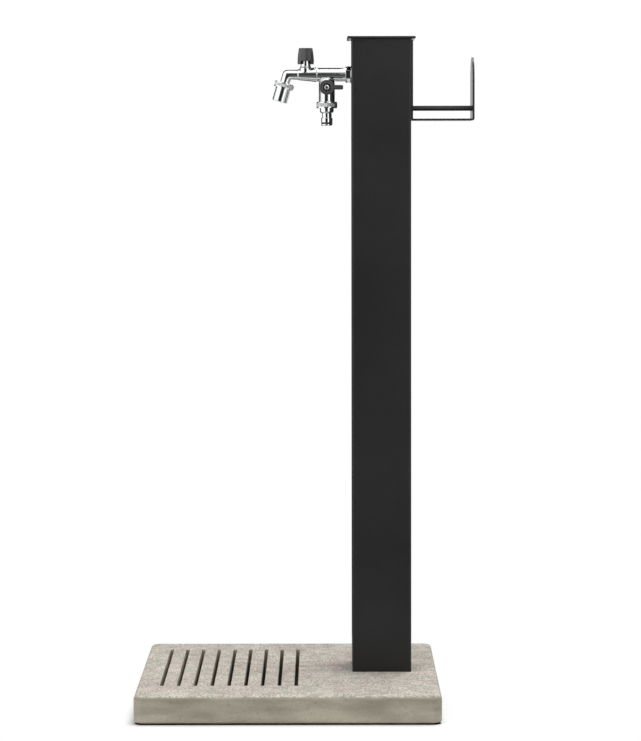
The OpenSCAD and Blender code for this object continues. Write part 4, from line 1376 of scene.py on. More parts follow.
@dataclass
class TapBody:
    """Cast two-way body with its spanner hexagon and the rosette at the post."""

    barrel_d: float = 20.6*MM
    chamber_d: float = 22.4*MM
    chamber_back: float = 16.5*MM
    overlap: float = 5.5*MM
    chamber_front: float = 13*MM
    chamber_end_d: float = 17*MM
    # How far each point of the chamber's rounded end lies in from its side and back from its end
    chamber_round: Points = ((0.0, 2.8*MM), (0.3*MM, 1.4*MM), (1*MM, 0.4*MM), (2*MM, 0.0))
    boss_d: float = 18.4*MM
    boss_top: float = 10.5*MM
    bonnet_bore_d: float = 15*MM
    valve_d: float = 24.7*MM
    valve_shoulder: float = 14*MM
    valve_len: float = 41.5*MM
    dome_step: float = 5.0
    dome_points: int = 18
    stem_boss_d: float = 20*MM
    stem_boss_y: float = 15.85*MM
    voxel: float = 0.4*MM
    passes: int = 7
    hexagon_af: float = 22*MM
    hexagon_len: float = 7.8*MM
    hexagon_chamfer: float = 0.7*MM
    hexagon_edge: float = 0.35*MM
    hexagon_turn: float = 20.0
    rosette_flat: float = 0.4
    rosette_edge: float = 0.25*MM

    def build(self, places: Places, finishes: Finishes) -> None:
        """Model the casting, the hexagon and the rosette and dress them.

        Args:
            places: The shared places.
            finishes: All finishes.
        """
        low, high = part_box("rosette")
        thick = high.x - low.x
        place = along(places.face, LEFT)
        finishes.install(self.casting(places), Slot.CHROME, Body.STAND, "tap_body")
        finishes.install(self.hexagon(place, thick), Slot.CHROME, Body.STAND)
        rosette = self.rosette(place, (high.y - low.y)/2, thick)
        finishes.install(rosette, Slot.CHROME, Body.STAND, "rosette")

    def casting(self, places: Places) -> Piece:
        """Barrel, valve chamber, bonnet boss and hose valve, cast in one skin.

        Args:
            places: The shared places.
        Returns:
            The casting, bored for the bonnet.
        """
        knob = Matrix.Translation(places.knob)
        into_chamber = places.face.x - places.knob.x - self.chamber_back + self.overlap
        end_r, end = self.chamber_end_d/2, self.chamber_front
        chamber = [(end_r - inward, end - back) for inward, back in self.chamber_round]
        radius = self.valve_d/2
        dome = [(out, rise - self.valve_shoulder)
                for out, rise in arc(radius, range(self.dome_points), self.dome_step)]
        shells = (
            Bench.rod("tap_casting", self.barrel_d/2, (self.hexagon_len/2, into_chamber),
                      along(places.face, LEFT)),
            Bench.turned("chamber", [(self.chamber_d/2, -self.chamber_back), *chamber],
                         along(places.knob, LEFT)),
            Bench.rod("boss", self.boss_d/2, (0.0, self.boss_top), knob),
            Bench.turned("valve", [(radius, -self.valve_len), *dome], Matrix.Translation(places.valve)),
            Bench.rod("stem_boss", self.stem_boss_d/2, (0.0, self.stem_boss_y), along(places.lever, FRONT)),
        )
        body = Bench.cast(Bench.join(*shells), self.voxel, self.passes)
        Bench.carve(body, Bench.rod("bonnet_bore", self.bonnet_bore_d/2, (0.0, 2*self.boss_top), knob))
        return body

    def hexagon(self, place: Matrix, start: float) -> Piece:
        """Spanner hexagon between the barrel and the rosette.

        Args:
            place: Place whose axis runs from the post along the barrel.
            start: Where the hexagon begins along that axis.
        Returns:
            The hexagon.
        """
        radius, chamfer = hexagon_r(self.hexagon_af), self.hexagon_chamfer
        end = start + self.hexagon_len
        profile = [
            (radius - chamfer, start),
            (radius, start + chamfer/2),
            (radius, end - chamfer/2),
            (radius - chamfer, end),
        ]
        piece = Bench.turned("spanner_hexagon", profile, place, HEXAGON)
        return Bench.soften(piece, self.hexagon_edge, angle=self.hexagon_turn)

    def rosette(self, place: Matrix, radius: float, thick: float) -> Piece:
        """Thin disc with a rounded rim against the post.

        Args:
            place: Place whose axis runs from the post along the barrel.
            radius: Radius of the disc.
            thick: Its thickness.
        Returns:
            The disc.
        """
        bore = self.barrel_d/2
        profile = [
            (bore, 0.0),
            (radius, 0.0),
            (radius, thick*self.rosette_flat),
            (radius - thick, thick),
            (bore, thick),
        ]
        return Bench.soften(Bench.turned("rosette_disc", profile, place, ring=True), self.rosette_edge)


@dataclass
class StopValve:
    """Bonnet neck, lobed knob and the cover over its screw."""

    neck_d: float = 15.4*MM
    neck_top: float = 24.5*MM
    flange_d: float = 17.2*MM
    flange_base: float = 11.3*MM
    flange_t: float = 1.4*MM
    skirt_d: float = 14.8*MM
    skirt_base: float = 4.5*MM
    guide_d: float = 11.6*MM
    guide_top: float = 13.7*MM
    spindle_bore_d: float = 7.2*MM
    seal_room_d: float = 11*MM
    seal_room_h: float = 2.2*MM
    bonnet_edge: float = 0.35*MM
    knob_bottom: float = 15.9*MM
    knob_h: float = 24.4*MM
    knob_d: float = 28*MM
    knob_waist: float = 8.4*MM
    side_r: float = 52*MM
    skirt_r: float = 28*MM
    rings: int = 14
    lobes: int = 4
    flute_r: float = 20*MM
    flute_depth: float = 2.8*MM
    flute_lean: float = 6.0
    flute_steps: int = 160
    notch_h: float = 4.7*MM
    notch_w: float = 14.8*MM
    notch_corner_r: float = 1.6*MM
    notch_corner_steps: int = 6
    neck_room: float = 0.5*MM
    voxel: float = 0.3*MM
    passes: int = 5
    cover_d: float = 13*MM
    cover_t: float = 1.8*MM
    cover_room: float = 0.1*MM
    # Part of the cover's radius and height over the knob's top, for each point of its dome
    cover_dome: Points = ((1.0, -0.25*MM), (0.8, 0.05*MM), (0.4, 0.18*MM), (0.05, 0.22*MM))
    cover_edge: float = 0.2*MM
    cover_edge_steps: int = 2

    def build(self, places: Places, finishes: Finishes) -> None:
        """Model the bonnet, the knob and its cover and dress them.

        Args:
            places: The shared places.
            finishes: All finishes.
        """
        place = Matrix.Translation(places.knob)
        finishes.install(self.bonnet(place), Slot.CHROME, Body.STAND, "bonnet")
        finishes.install(self.knob(place), Slot.DARK_PLASTIC, Body.KNOB, "knob")
        finishes.install(self.cover(place), Slot.DARK_PLASTIC, Body.KNOB, "knob_cover")

    def bonnet(self, place: Matrix) -> Piece:
        """Neck on its flange, bored for the plunger, the spindle and the spindle's sealing ring.

        Args:
            place: Place whose axis is the knob's.
        Returns:
            The bonnet.
        """
        neck, flange, skirt = self.neck_d/2, self.flange_d/2, self.skirt_d/2
        guide, bore, room = self.guide_d/2, self.spindle_bore_d/2, self.seal_room_d/2
        step = self.flange_base + self.flange_t
        room_base = self.neck_top - self.seal_room_h
        profile = [
            (guide, self.skirt_base),
            (skirt, self.skirt_base),
            (skirt, self.flange_base),
            (flange, self.flange_base),
            (flange, step),
            (neck, step),
            (neck, self.neck_top),
            (room, self.neck_top),
            (room, room_base),
            (bore, room_base),
            (bore, self.guide_top),
            (guide, self.guide_top),
        ]
        return Bench.soften(Bench.turned("bonnet_neck", profile, place, ring=True), self.bonnet_edge)

    def knob(self, place: Matrix) -> Piece:
        """Barrelled blank with leaning flutes and a notch through its rim, moulded soft.

        Args:
            place: Place whose axis is the knob's.
        Returns:
            The knob.
        """
        top = self.knob_bottom + self.knob_h
        piece = Bench.turned("lobed_knob", self.blank(), place)
        for lobe in range(self.lobes):
            Bench.carve(piece, self.flute(place, math.tau*lobe/self.lobes))
        neck_end, seat = self.neck_top + self.neck_room, (top - self.cover_t, top + self.cover_t)
        Bench.carve(
            piece,
            self.notch(place.translation),
            Bench.rod("neck_bore", self.neck_d/2 + self.neck_room, (0.0, neck_end), place),
            Bench.rod("cover_seat", self.cover_d/2 + self.cover_room, seat, place),
        )
        return Bench.cast(piece, self.voxel, self.passes)

    def blank(self) -> Profile:
        """Outline of the blank, bowed above and below its waist.

        Returns:
            Radius and height of each point.
        """
        waist = self.knob_bottom + self.knob_waist
        profile = []
        for step in range(self.rings + 1):
            height = self.knob_bottom + self.knob_h*step/self.rings
            bow = self.side_r if height > waist else self.skirt_r
            sag = bow - math.sqrt(bow**2 - (height - waist)**2)
            profile.append((self.knob_d/2 - sag, height))
        return profile

    def flute(self, place: Matrix, turn: float) -> Piece:
        """Leaning rod that cuts one flute.

        Args:
            place: Place whose axis is the knob's.
            turn: Direction of the flute round that axis.
        Returns:
            The rod.
        """
        waist = self.knob_bottom + self.knob_waist
        reach = self.knob_d/2 - self.flute_depth + self.flute_r
        spin = Matrix.Rotation(turn, 4, Axis.Z.value)
        lean = Matrix.Rotation(-math.radians(self.flute_lean), 4, Axis.Y.value)
        cut = Matrix.Translation(waist*UP) @ spin @ lean @ Matrix.Translation(reach*RIGHT)
        return Bench.rod("flute", self.flute_r, (-self.knob_h, self.knob_h), place @ cut, self.flute_steps)

    def notch(self, base: Vector) -> Piece:
        """Bar with round corners that cuts the notch through the knob's rim.

        Args:
            base: Foot of the knob's axis.
        Returns:
            The bar.
        """
        half = Vector((self.notch_w/2, self.knob_d, self.notch_h))
        centre = base + self.knob_bottom*UP
        bar = Bench.block("notch", centre - half, centre + half)

        def lengthwise(edge: Edge) -> bool:
            """Whether an edge runs along the bar."""
            return abs(edge.verts[0].co.y - edge.verts[1].co.y) > self.knob_d

        Bench.round_off(bar, self.notch_corner_r, self.notch_corner_steps, lengthwise)
        return bar

    def cover(self, place: Matrix) -> Piece:
        """Slightly domed disc in the knob's top.

        Args:
            place: Place whose axis is the knob's.
        Returns:
            The disc.
        """
        radius = self.cover_d/2
        top = self.knob_bottom + self.knob_h
        dome = [(radius*share, top + rise) for share, rise in self.cover_dome]
        piece = Bench.turned("knob_disc", [(radius, top - self.cover_t), *dome], place)
        return Bench.soften(piece, self.cover_edge, self.cover_edge_steps)


@dataclass
class UnionNut:
    """Knurled union nut with plain rims."""

    name: str
    outside_d: float
    height: float
    top_bore_d: float
    low_bore_d: float
    ridges: int = 36
    depth: float = 0.5*MM
    rim: float = 2*MM
    rim_drop: float = 0.1*MM
    chamfer: float = 0.4*MM
    edge: float = 0.14*MM
    edge_steps: int = 2

    def build(self, place: Matrix) -> Piece:
        """Model the nut upwards from its lip, along the local Z axis of a place.

        Args:
            place: Where the nut's lip and axis are.
        Returns:
            The nut.
        """
        crest = self.outside_d/2
        root = crest - self.depth
        side = crest - self.rim_drop
        face = side - self.chamfer
        top, band_top = self.height, self.height - self.rim
        profile = [
            (self.low_bore_d/2, 0.0),
            (face, 0.0),
            (side, self.chamfer),
            (side, self.rim),
            (root, self.rim),
            (root, band_top),
            (side, band_top),
            (side, top - self.chamfer),
            (face, top),
            (self.top_bore_d/2, top),
        ]
        steps = 2*self.ridges
        piece = Bench.turned(self.name, profile, Matrix.Identity(4), steps, ring=True)

        def on_crest(point: bmesh.types.BMVert) -> bool:
            """Whether a point of the knurled band belongs to a ridge's crest."""
            turn = math.atan2(point.co.y, point.co.x)/math.tau
            return abs(point.co.xy.length - root) < self.depth/10 and round(turn*steps) % 2 == 0

        Bench.edit(piece)
        Bench.choose(piece, Pick.POINTS, on_crest)
        bpy.ops.transform.resize(value=(crest/root, crest/root, 1.0), center_override=(0, 0, 0))
        Bench.clear()
        Bench.soften(piece, self.edge, self.edge_steps)
        low, high = self.rim + self.edge/3, band_top - self.edge/3
        mark = piece.data.attributes.new(KNURL, "FLOAT", "POINT")
        mark.data.foreach_set("value", [float(low < point.co.z < high) for point in piece.data.vertices])
        return Bench.settle(piece, place)


@dataclass
class Spout:
    """Bent spout, its union nut and the outlet sleeve."""

    tube_d: float = 15*MM
    start: float = 8*MM
    fillet_r: float = 3.5*MM
    bend_steps: int = 24
    bend_round: int = 64
    ball_step: float = 6.0
    ball_points: int = 14
    meet_out: float = 97.6*MM
    voxel: float = 0.3*MM
    passes: int = 8
    nut_start: float = 13.1*MM
    nut_h: float = 8.5*MM
    nut_d: float = 30*MM
    nut_room: float = 0.2*MM
    thread_d: float = 25.6*MM
    thread_drop: float = 0.8*MM
    sleeve_d: float = 23.4*MM
    sleeve_bore_d: float = 20*MM
    sleeve_len: float = 21*MM
    sleeve_in: float = 1.6*MM
    lip: float = 0.6*MM

    def build(self, places: Places, finishes: Finishes) -> None:
        """Model the tube, the nut and the sleeve and dress them.

        Args:
            places: The shared places.
            finishes: All finishes.
        """
        meet = places.face + self.meet_out*LEFT
        leg = along(meet, places.leg)
        nut_end = meet + places.leg*(self.nut_start + self.nut_h)
        nut = UnionNut("spout_union", self.nut_d, self.nut_h, self.thread_d, self.sleeve_d + self.nut_room)
        finishes.install(self.tube(places, meet, leg), Slot.CHROME, Body.STAND, "spout_tube")
        finishes.install(nut.build(along(nut_end, -places.leg)), Slot.CHROME, Body.STAND, "spout_nut",
                         finish=finishes.knurled_chrome)
        finishes.install(self.sleeve(leg), Slot.CHROME, Body.STAND, "spout_sleeve")

    def tube(self, places: Places, meet: Vector, leg: Matrix) -> Piece:
        """Level run, ball corner, filleted bend and leg, cast in one skin.

        Args:
            places: The shared places.
            meet: Where the run's axis meets the leg's.
            leg: Place whose axis runs down the leg.
        Returns:
            The tube.
        """
        radius = self.tube_d/2
        run = places.knob.x - self.start - meet.x
        thread = (self.nut_start + self.thread_drop, self.nut_start + self.nut_h/2)
        ball = arc(radius, range(-self.ball_points, self.ball_points + 1), self.ball_step)
        shells = (
            Bench.rod("spout", radius, (0.0, run), along(meet, RIGHT)),
            Bench.rod("leg", radius, (0.0, thread[1]), leg),
            Bench.turned("corner", ball, Matrix.Translation(meet)),
            self.bend(meet, places.leg),
            Bench.rod("collar", self.thread_d/2, thread, leg),
        )
        return Bench.cast(Bench.join(*shells), self.voxel, self.passes)

    def bend(self, meet: Vector, leg: Vector) -> Piece:
        """Disc of the tube's section spun round the inner corner.

        Args:
            meet: Where the run's axis meets the leg's.
            leg: Direction of the leg.
        Returns:
            The bend.
        """
        radius = self.tube_d/2
        axis_r = radius + self.fillet_r
        turn = LEFT.angle(leg)
        start = meet + axis_r*math.tan(turn/2)*RIGHT
        Bench.clear()
        bpy.ops.mesh.primitive_circle_add(vertices=self.bend_round, radius=radius, fill_type="NGON")
        piece = Bench.settle(Bench.added("bend"), along(start, RIGHT))
        Bench.edit(piece)
        bpy.ops.mesh.select_all(action="SELECT")
        bpy.ops.mesh.spin(steps=self.bend_steps, angle=turn, center=start + axis_r*DOWN, axis=REAR)
        bpy.ops.mesh.select_all(action="SELECT")
        bpy.ops.mesh.remove_doubles(threshold=NEAR/2)
        bpy.ops.mesh.normals_make_consistent(inside=False)
        Bench.clear()
        return piece

    def sleeve(self, leg: Matrix) -> Piece:
        """Open outlet sleeve with a rounded mouth.

        Args:
            leg: Place whose axis runs down the leg.
        Returns:
            The sleeve.
        """
        outer, inner = self.sleeve_d/2, self.sleeve_bore_d/2
        nut_end = self.nut_start + self.nut_h
        start, end = nut_end - self.sleeve_in, nut_end + self.sleeve_len
        profile = [(inner, start), (outer, start), (outer, end), (inner, end)]
        return Bench.soften(Bench.turned("outlet_sleeve", profile, leg, ring=True), self.lip)


@dataclass
class HoseValve:
    """Quarter-turn lever with its screw."""

    hub_d: float = 22.8*MM
    thick: float = 5.4*MM
    hub_chamfer: float = 0.9*MM
    face_drop: float = 0.25*MM
    recess_d: float = 12*MM
    recess_h: float = 2.4*MM
    rim_w: float = 1.2*MM
    rim_foot: float = 1.6*MM
    groove_h: float = 1.8*MM
    reach: float = 24.8*MM
    arm_h: float = 7*MM
    arm_drop: float = 0.5*MM
    tip_steps: int = 8
    voxel: float = 0.22*MM
    passes: int = 5
    screw_d: float = 8*MM
    screw_h: float = 2.1*MM
    screw_round: int = 64
    # Part of the head's radius and of its height, for each point of its dome
    screw_dome: Points = ((1.0, 0.45), (0.9, 0.75), (0.7, 0.95), (0.5, 1.0))
    socket_af: float = 3*MM
    socket_floor: float = 0.3
    screw_edge: float = 0.12*MM
    screw_edge_steps: int = 2
    screw_turn: float = 40.0

    def build(self, places: Places, finishes: Finishes) -> None:
        """Model the lever and its screw and dress them.

        Args:
            places: The shared places.
            finishes: All finishes.
        """
        back = places.lever.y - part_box("lever")[1].y
        finishes.install(self.lever(places.lever, back), Slot.DARK_PLASTIC, Body.LEVER, "lever")
        screw = self.screw(along(places.lever, FRONT), back + self.thick - self.recess_h)
        finishes.install(screw, Slot.CHROME, Body.LEVER, "lever_screw")

    def lever(self, centre: Vector, back: float) -> Piece:
        """Round hub with a raised rim, a deep groove round the screw's seat, and a flat arm.

        Args:
            centre: Where the stem's axis meets the valve's.
            back: How far in front of it the lever's rear lies.
        Returns:
            The lever.
        """
        radius, recess, screw = self.hub_d/2, self.recess_d/2, self.screw_d/2
        front = back + self.thick
        face = front - self.face_drop
        seat = front - self.recess_h
        groove = seat - self.groove_h
        profile = [
            (radius, back),
            (radius, front - self.hub_chamfer),
            (radius - self.hub_chamfer, face),
            (recess + self.rim_foot, face),
            (recess + self.rim_w, front),
            (recess, front),
            (recess, groove),
            (screw, groove),
            (screw, seat),
        ]
        hub = Bench.turned("lever_handle", profile, along(centre, FRONT))
        tip = centre.x + self.reach
        low = centre + Vector((recess + self.rim_foot, self.arm_drop - front, -self.arm_h/2))
        arm = Bench.block("arm", low, Vector((tip, centre.y - back, centre.z + self.arm_h/2)))

        def at_tip(edge: Edge) -> bool:
            """Whether an edge closes the arm's tip along Y."""
            start, end = (point.co for point in edge.verts)
            return abs(start.y - end.y) > NEAR and min(start.x, end.x) > tip - NEAR

        Bench.round_off(arm, self.arm_h/3, self.tip_steps, at_tip)
        return Bench.cast(Bench.join(hub, arm), self.voxel, self.passes)

    def screw(self, place: Matrix, seat: float) -> Piece:
        """Domed screw head with a six-sided socket.

        Args:
            place: Place whose axis is the stem's, towards the front.
            seat: Where the head sits along that axis.
        Returns:
            The head.
        """
        radius = self.screw_d/2
        dome = [(radius*out, seat + self.screw_h*rise) for out, rise in self.screw_dome]
        piece = Bench.turned("lever_bolt", [(radius, seat), *dome], place, self.screw_round)
        depth = (seat + self.screw_h*self.socket_floor, seat + 2*self.screw_h)
        Bench.carve(piece, Bench.rod("socket", hexagon_r(self.socket_af), depth, place, HEXAGON))
        return Bench.soften(piece, self.screw_edge, self.screw_edge_steps, self.screw_turn)


@dataclass
class HosePlug:
    """Union nut, push-fit plug and its sealing ring, under the lever valve."""

    nut_top: float = 41.5*MM
    nut_d: float = 31.7*MM
    nut_h: float = 9.5*MM
    nut_room: float = 0.2*MM
    thread_d: float = 26.2*MM
    collar_d: float = 21.3*MM
    collar_in: float = 3*MM
    collar_len: float = 7.8*MM
    shoulder: float = 3.2*MM
    # How far each point of the rounded shoulder lies in and back from its corner, in parts of its size
    shoulder_round: Points = ((0.0, 1.0), (0.15, 0.5), (0.5, 0.15))
    neck_d: float = 15*MM
    neck_len: float = 6.8*MM
    ring_d: float = 17.6*MM
    ring_len: float = 7*MM
    nose_len: float = 2.6*MM
    bore_d: float = 9*MM
    bevel: float = 0.6*MM
    edge: float = 0.25*MM
    seal_d: float = 2.4*MM
    seal_len: float = 2.6*MM
    seal_room: float = 0.1*MM
    seal_steps: int = 20
    seal_flat: float = 0.96

    def build(self, places: Places, finishes: Finishes) -> None:
        """Model the nut, the plug and the sealing ring and dress them.

        Args:
            places: The shared places.
            finishes: All finishes.
        """
        down = along(places.valve, DOWN)
        nut_end = self.nut_top + self.nut_h
        nut = UnionNut("hose_union", self.nut_d, self.nut_h, self.thread_d, self.collar_d + self.nut_room)
        place = along(places.valve + nut_end*DOWN, UP)
        finishes.install(nut.build(place), Slot.CHROME, Body.STAND, "hose_nut",
                         finish=finishes.knurled_chrome)
        plug, groove = self.plug(down, nut_end)
        finishes.install(plug, Slot.CHROME, Body.STAND, "hose_plug")
        finishes.install(self.seal(down, groove), Slot.RUBBER, Body.STAND, "plug_oring")

    def plug(self, down: Matrix, nut_end: float) -> tuple[Piece, float]:
        """Turned plug with a groove for its sealing ring.

        Args:
            down: Place whose axis runs down from the tap's axis.
            nut_end: Lower end of the union nut along that axis.
        Returns:
            The plug, and the middle of its groove along the axis.
        """
        collar, neck, ring, bore = self.collar_d/2, self.neck_d/2, self.ring_d/2, self.bore_d/2
        groove = ring - self.seal_d - self.seal_room
        nose = ring - self.bevel/2
        collar_start, collar_end = nut_end - self.collar_in, nut_end + self.collar_len
        neck_end = collar_end + self.neck_len
        ring_end = neck_end + self.ring_len
        groove_end = ring_end + self.seal_len
        nose_end = groove_end + self.nose_len
        shoulder = [(collar - inward*self.shoulder, collar_end - back*self.shoulder)
                    for inward, back in self.shoulder_round]
        profile = [
            (bore, collar_start),
            (collar, collar_start),
            *shoulder,
            (neck, collar_end),
            (neck, neck_end),
            (ring - self.bevel, neck_end),
            (ring, neck_end + self.bevel),
            (ring, ring_end),
            (groove, ring_end),
            (groove, groove_end),
            (nose, groove_end),
            (nose, nose_end - self.bevel),
            (ring - 2*self.bevel, nose_end),
            (bore, nose_end),
        ]
        piece = Bench.turned("push_plug", profile, down, ring=True)
        return Bench.soften(piece, self.edge), (ring_end + groove_end)/2

    def seal(self, down: Matrix, groove: float) -> Piece:
        """Rubber ring in the plug's groove, a little flattened where it bears.

        Args:
            down: Place whose axis runs down from the tap's axis.
            groove: Middle of the groove along that axis.
        Returns:
            The ring.
        """
        half = self.seal_d/2
        middle = self.ring_d/2 - half
        turns = [math.tau*step/self.seal_steps for step in range(self.seal_steps)]
        profile = [(middle + half*min(math.cos(turn), self.seal_flat), groove + half*math.sin(turn))
                   for turn in turns]
        return Bench.smooth(Bench.turned("plug_seal", profile, down, ring=True))


@dataclass
class Fixings:
    """Countersunk screws of the hanger and pan-head screws at the post's foot."""

    head_d: float = 9.6*MM
    head_chamfer: float = 0.5*MM
    head_edge: float = 0.1*MM
    head_edge_steps: int = 2
    head_turn: float = 40.0
    socket_af: float = 3*MM
    socket_depth: float = 0.6
    proud: float = 0.15*MM
    sunk: float = 0.2*MM
    pan_h: float = 2.6*MM
    rise: float = 54*MM
    pitch: float = 40*MM
    foot_pitch: float = 44*MM

    def build(self, finishes: Finishes) -> None:
        """Model both sets of screws and dress them.

        Args:
            finishes: All finishes.
        """
        low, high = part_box("hanger_screws")
        centre = (low + high)/2
        spots = [Vector((high.x + self.proud, centre.y + side*self.pitch/2, centre.z + level*self.rise/2))
                 for side in (-1, 1) for level in (-1, 1)]
        screws = self.heads("hanger_screw", [along(spot, RIGHT) for spot in spots], self.proud + self.sunk)
        finishes.install(screws, Slot.STEEL, Body.STAND, "hanger_screws")
        low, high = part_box("post_screws")
        centre = (low + high)/2
        spots = [Vector((centre.x + side*self.foot_pitch/2, high.y, centre.z)) for side in (-1, 1)]
        screws = self.heads("foot_screw", [along(spot, REAR) for spot in spots], self.pan_h)
        finishes.install(screws, Slot.STEEL, Body.STAND, "post_screws")

    def heads(self, name: str, places: list[Matrix], depth: float) -> Piece:
        """One head copied to several places and joined into one piece.

        Args:
            name: Name of the finished set.
            places: Middle of each head's outer face, with the axis outwards.
            depth: How far a head reaches back from its outer face.
        Returns:
            The set.
        """
        radius = self.head_d/2
        chamfer = min(self.head_chamfer, depth/2)
        profile = [(radius, -depth), (radius, -chamfer), (radius - chamfer, 0.0)]
        here = Matrix.Identity(4)
        head = Bench.turned(name, profile, here, SMALL_ROUND)
        ends = (-depth*self.socket_depth, depth)
        Bench.carve(head, Bench.rod("socket", hexagon_r(self.socket_af), ends, here, HEXAGON))
        Bench.soften(head, self.head_edge, self.head_edge_steps, self.head_turn)
        copies = [Bench.copy(head, name, place) for place in places]
        bpy.data.objects.remove(head)
        piece = Bench.join(*copies)
        piece.name = name
        return piece


@dataclass(frozen=True)
class Card:
    """Card that only mirrors see, for the bright and dark bands in the chrome."""

    name: str
    at: Vector
    facing: Vector
    width: float
    height: float
    glow: float

    def build(self) -> None:
        """Stand the card in its place with an even glow."""
        Bench.clear()
        bpy.ops.mesh.primitive_plane_add(size=1.0)
        size = Matrix.Diagonal((self.width, self.height, 1.0, 1.0))
        card = Bench.settle(Bench.added(self.name), along(self.at, self.facing) @ size)
        sheet = NodeSheet(self.name)
        light = sheet.add("ShaderNodeEmission")
        light.inputs["Strength"].default_value = self.glow
        sheet.join(light.outputs[0], sheet.tree.nodes["Material Output"].inputs["Surface"])
        card.data.materials.append(sheet.material)
        card.visible_camera = False
        card.visible_diffuse = False
        card.visible_shadow = False


@dataclass(frozen=True)
class Softbox:
    """Soft rectangular lamp: its place, what it faces, its size in metres and its power in watts."""

    name: str
    at: Vector
    aim: Vector
    width: float
    height: float
    power: float

    def build(self) -> None:
        """Hang the lamp in its place."""
        data = bpy.data.lights.new(self.name, "AREA")
        data.shape = "RECTANGLE"
        data.size, data.size_y = self.width, self.height
        data.energy = self.power
        lamp = bpy.data.objects.new(self.name, data)
        turn = (self.aim - self.at).to_track_quat("-Z", "Y").to_matrix().to_4x4()
        lamp.matrix_world = Matrix.Translation(self.at) @ turn
        bpy.context.scene.collection.objects.link(lamp)


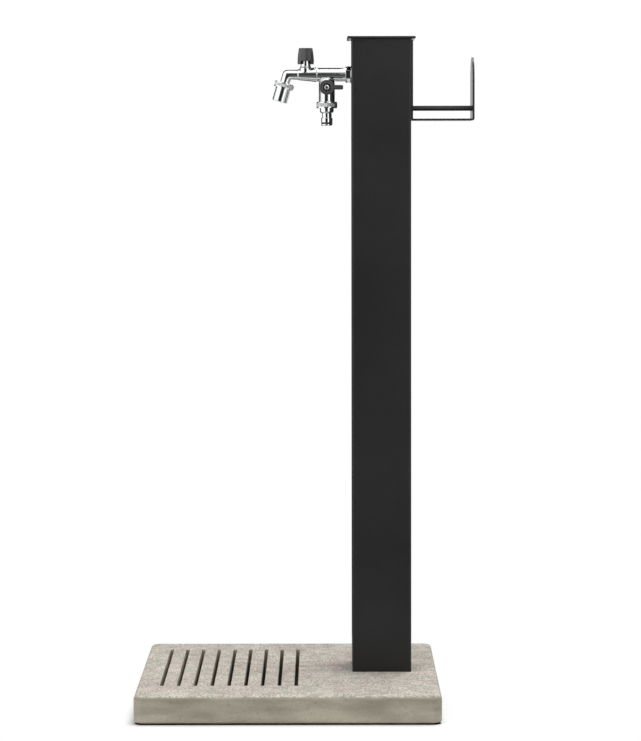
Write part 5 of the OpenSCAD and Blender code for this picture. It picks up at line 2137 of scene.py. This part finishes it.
@dataclass
class Studio:
    """Pale floor, soft light, white background and the camera."""

    camera_at: Vector = Vector((54.05*MM, -4258.4*MM, 824.85*MM))
    camera_pitch: float = 2.692
    camera_roll: float = 0.09
    lens_mm: float = 135.86
    shift_x: float = -0.0047
    shift_y: float = -0.11
    clip_end: float = 100.0
    floor_size: float = 40.0
    floor_tone: float = 0.75
    floor_rough: float = 0.9
    floor_specular: float = 0.1
    # Painted shade on the floor under the slab: darkest towards its rim, a little less under the slots
    under_slab_shade: float = 0.02
    under_slab_shade_corner: float = 10*MM
    under_slab_shade_edge: Span = (3*MM, 1*MM)
    slot_floor_shade: float = 0.08
    slot_floor_shade_edge: Span = (40*MM, 20*MM)
    side_fade: float = 0.03
    front_fade: float = 0.06
    ambient: float = 0.40
    dark_glow: float = 0.12
    stripe_glow: float = 0.03
    rear_glow: float = 0.05
    low_glow: float = 0.22
    crown_glow: float = 3.8
    white_glow: float = 1.7
    dark_w: float = 1.22
    dark_shift: float = -0.25

    def build(self) -> None:
        """Set up the whole stage."""
        bpy.context.scene.view_settings.view_transform = "Standard"
        self.floor()
        self.background()
        for light in (*self.lamps(), *self.cards()):
            light.build()
        self.camera()

    def floor(self) -> None:
        """Pale floor that takes the object's shadow close by and turns plain white farther off."""
        Bench.clear()
        bpy.ops.mesh.primitive_plane_add(size=self.floor_size)
        floor = Bench.added("floor")
        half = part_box("base_slab")[1].x
        sheet = NodeSheet("studio_floor")
        sheet.set(Roughness=self.floor_rough, Specular_IOR_Level=self.floor_specular)
        sheet.colour(self.ground(sheet, half))
        share = sheet.sum_up(Sum.MULTIPLY, sheet.seen_rays(), self.far_off(sheet, half))
        sheet.crossfade(share, sheet.shader, sheet.add("ShaderNodeEmission"), "Material Output")
        floor.data.materials.append(sheet.material)

    def ground(self, sheet: NodeSheet, half: float) -> Socket:
        """Painted shade on the floor under the slab, darkest under its rim and a little less dark under the slots,
        and a pale floor round it.

        Args:
            sheet: The floor's nodes.
            half: Half the slab's width.
        Returns:
            The tone of the ground.
        """
        side, front = sheet.outward()
        corner = sheet.sum_up(Sum.SUBTRACT, sheet.sum_up(Sum.ADD, side, front), half - self.under_slab_shade_corner)
        reach = sheet.sum_up(Sum.LARGER, sheet.sum_up(Sum.LARGER, side, front), corner)
        edges = (self.slot_floor_shade_edge, self.under_slab_shade_edge)
        slot_edge, edge = ((half - start, half - end) for start, end in edges)
        inner = sheet.step(reach, slot_edge, (self.slot_floor_shade, self.under_slab_shade))
        outer = sheet.step(reach, edge, (self.under_slab_shade, self.floor_tone))
        return sheet.sum_up(Sum.LARGER, inner, outer)

    def far_off(self, sheet: NodeSheet, half: float) -> Socket:
        """Share of plain white: none under the slab, all of it beyond the fades.

        Args:
            sheet: The floor's nodes.
            half: Half the slab's width.
        Returns:
            The share.
        """
        side, front = sheet.outward()
        beside = sheet.step(side, (half, half + self.side_fade))
        before = sheet.step(front, (half, half + self.front_fade))
        return sheet.sum_up(Sum.LARGER, beside, before)

    def lamps(self) -> tuple[Softbox, ...]:
        """Lamps round the object.

        Returns:
            A large lamp above the object and one at each side.
        """
        return (
            Softbox("top", at=Vector((0.55, 0.4, 3.3)), aim=Vector((0.0, 0.0, 0.2)),
                    width=2.4, height=2.2, power=138.0),
            Softbox("left", at=Vector((-2.2, -1.3, 1.8)), aim=Vector((0.0, 0.0, 1.0)),
                    width=1.0, height=2.0, power=26.0),
            Softbox("right", at=Vector((1.5, -2.2, 1.5)), aim=Vector((0.15, 0.0, 0.9)),
                    width=0.45, height=2.4, power=6.0),
        )

    def cards(self) -> tuple[Card, ...]:
        """Cards round the tap and the post's top.

        Returns:
            Dark cards in front, below and behind, and bright ones before the post, above and at the left.
        """
        low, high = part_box("tap_body")
        tap = (low + high)/2
        front = tap + Vector((self.dark_shift, -1.5, 0.0))
        stripe = tap + Vector((self.dark_shift, -1.49, 0.0))
        below = Vector((tap.x + self.dark_shift, tap.y - 1.05, 0.03))
        behind = tap + Vector((-0.456, 0.5, 0.65))
        crown = Vector((0.29, -1.4, 1.30))
        above = tap + Vector((-0.05, -0.65, 1.2))
        beside = tap + Vector((-1.25, -0.78, 0.15))
        return (
            Card("front_card", front, REAR, width=self.dark_w, height=2.0, glow=self.dark_glow),
            Card("low_card", below, UP, width=self.dark_w, height=0.95, glow=self.low_glow),
            Card("rear_card", behind, FRONT, width=0.968, height=3.2, glow=self.rear_glow),
            Card("stripe_card", stripe, REAR, width=self.dark_w, height=0.3, glow=self.stripe_glow),
            Card("crown_card", crown, REAR, width=0.36, height=0.44, glow=self.crown_glow),
            Card("top_card", above, DOWN, width=2.4, height=1.8, glow=self.white_glow),
            Card("left_card", beside, RIGHT, width=1.97, height=1.8, glow=self.white_glow),
        )

    def background(self) -> None:
        """White background for what is seen, and a plain level of light for the rest."""
        world = bpy.data.worlds.new("studio")
        bpy.context.scene.world = world
        world.use_nodes = True
        wiring = Wiring(world.node_tree)
        light = world.node_tree.nodes["Background"]
        white = wiring.add("ShaderNodeBackground")
        for node, strength in ((light, self.ambient), (white, 1.0)):
            node.inputs["Color"].default_value = grey(1.0)
            node.inputs["Strength"].default_value = strength
        wiring.crossfade(wiring.seen_rays(), light, white, "World Output")

    def camera(self) -> None:
        """Camera at the photograph's place, nearly level, with a shifted lens."""
        data = bpy.data.cameras.new("camera")
        data.lens = self.lens_mm
        data.shift_x, data.shift_y = self.shift_x, self.shift_y
        data.clip_end = self.clip_end
        camera = bpy.data.objects.new("camera", data)
        camera.location = self.camera_at
        tilt = math.radians(90.0 - self.camera_pitch)
        camera.rotation_euler = (tilt, math.radians(self.camera_roll), 0.0)
        bpy.context.scene.collection.objects.link(camera)
        bpy.context.scene.camera = camera


def main() -> None:
    """Build the sub-assemblies in order, light them and log each piece's faces."""
    logging.basicConfig(level=logging.INFO, format="%(name)s: %(message)s")
    places = Places.read()
    finishes = Finishes()
    finishes.dress_frame()
    Studio().build()
    for assembly in (Slab(), Post(), HoseHanger(), Fixings()):
        assembly.build(finishes)
    for assembly in (TapBody(), StopValve(), Spout(), HoseValve(), HosePlug()):
        assembly.build(places, finishes)
    Bench.clear()


if __name__ == "__main__":
    main()
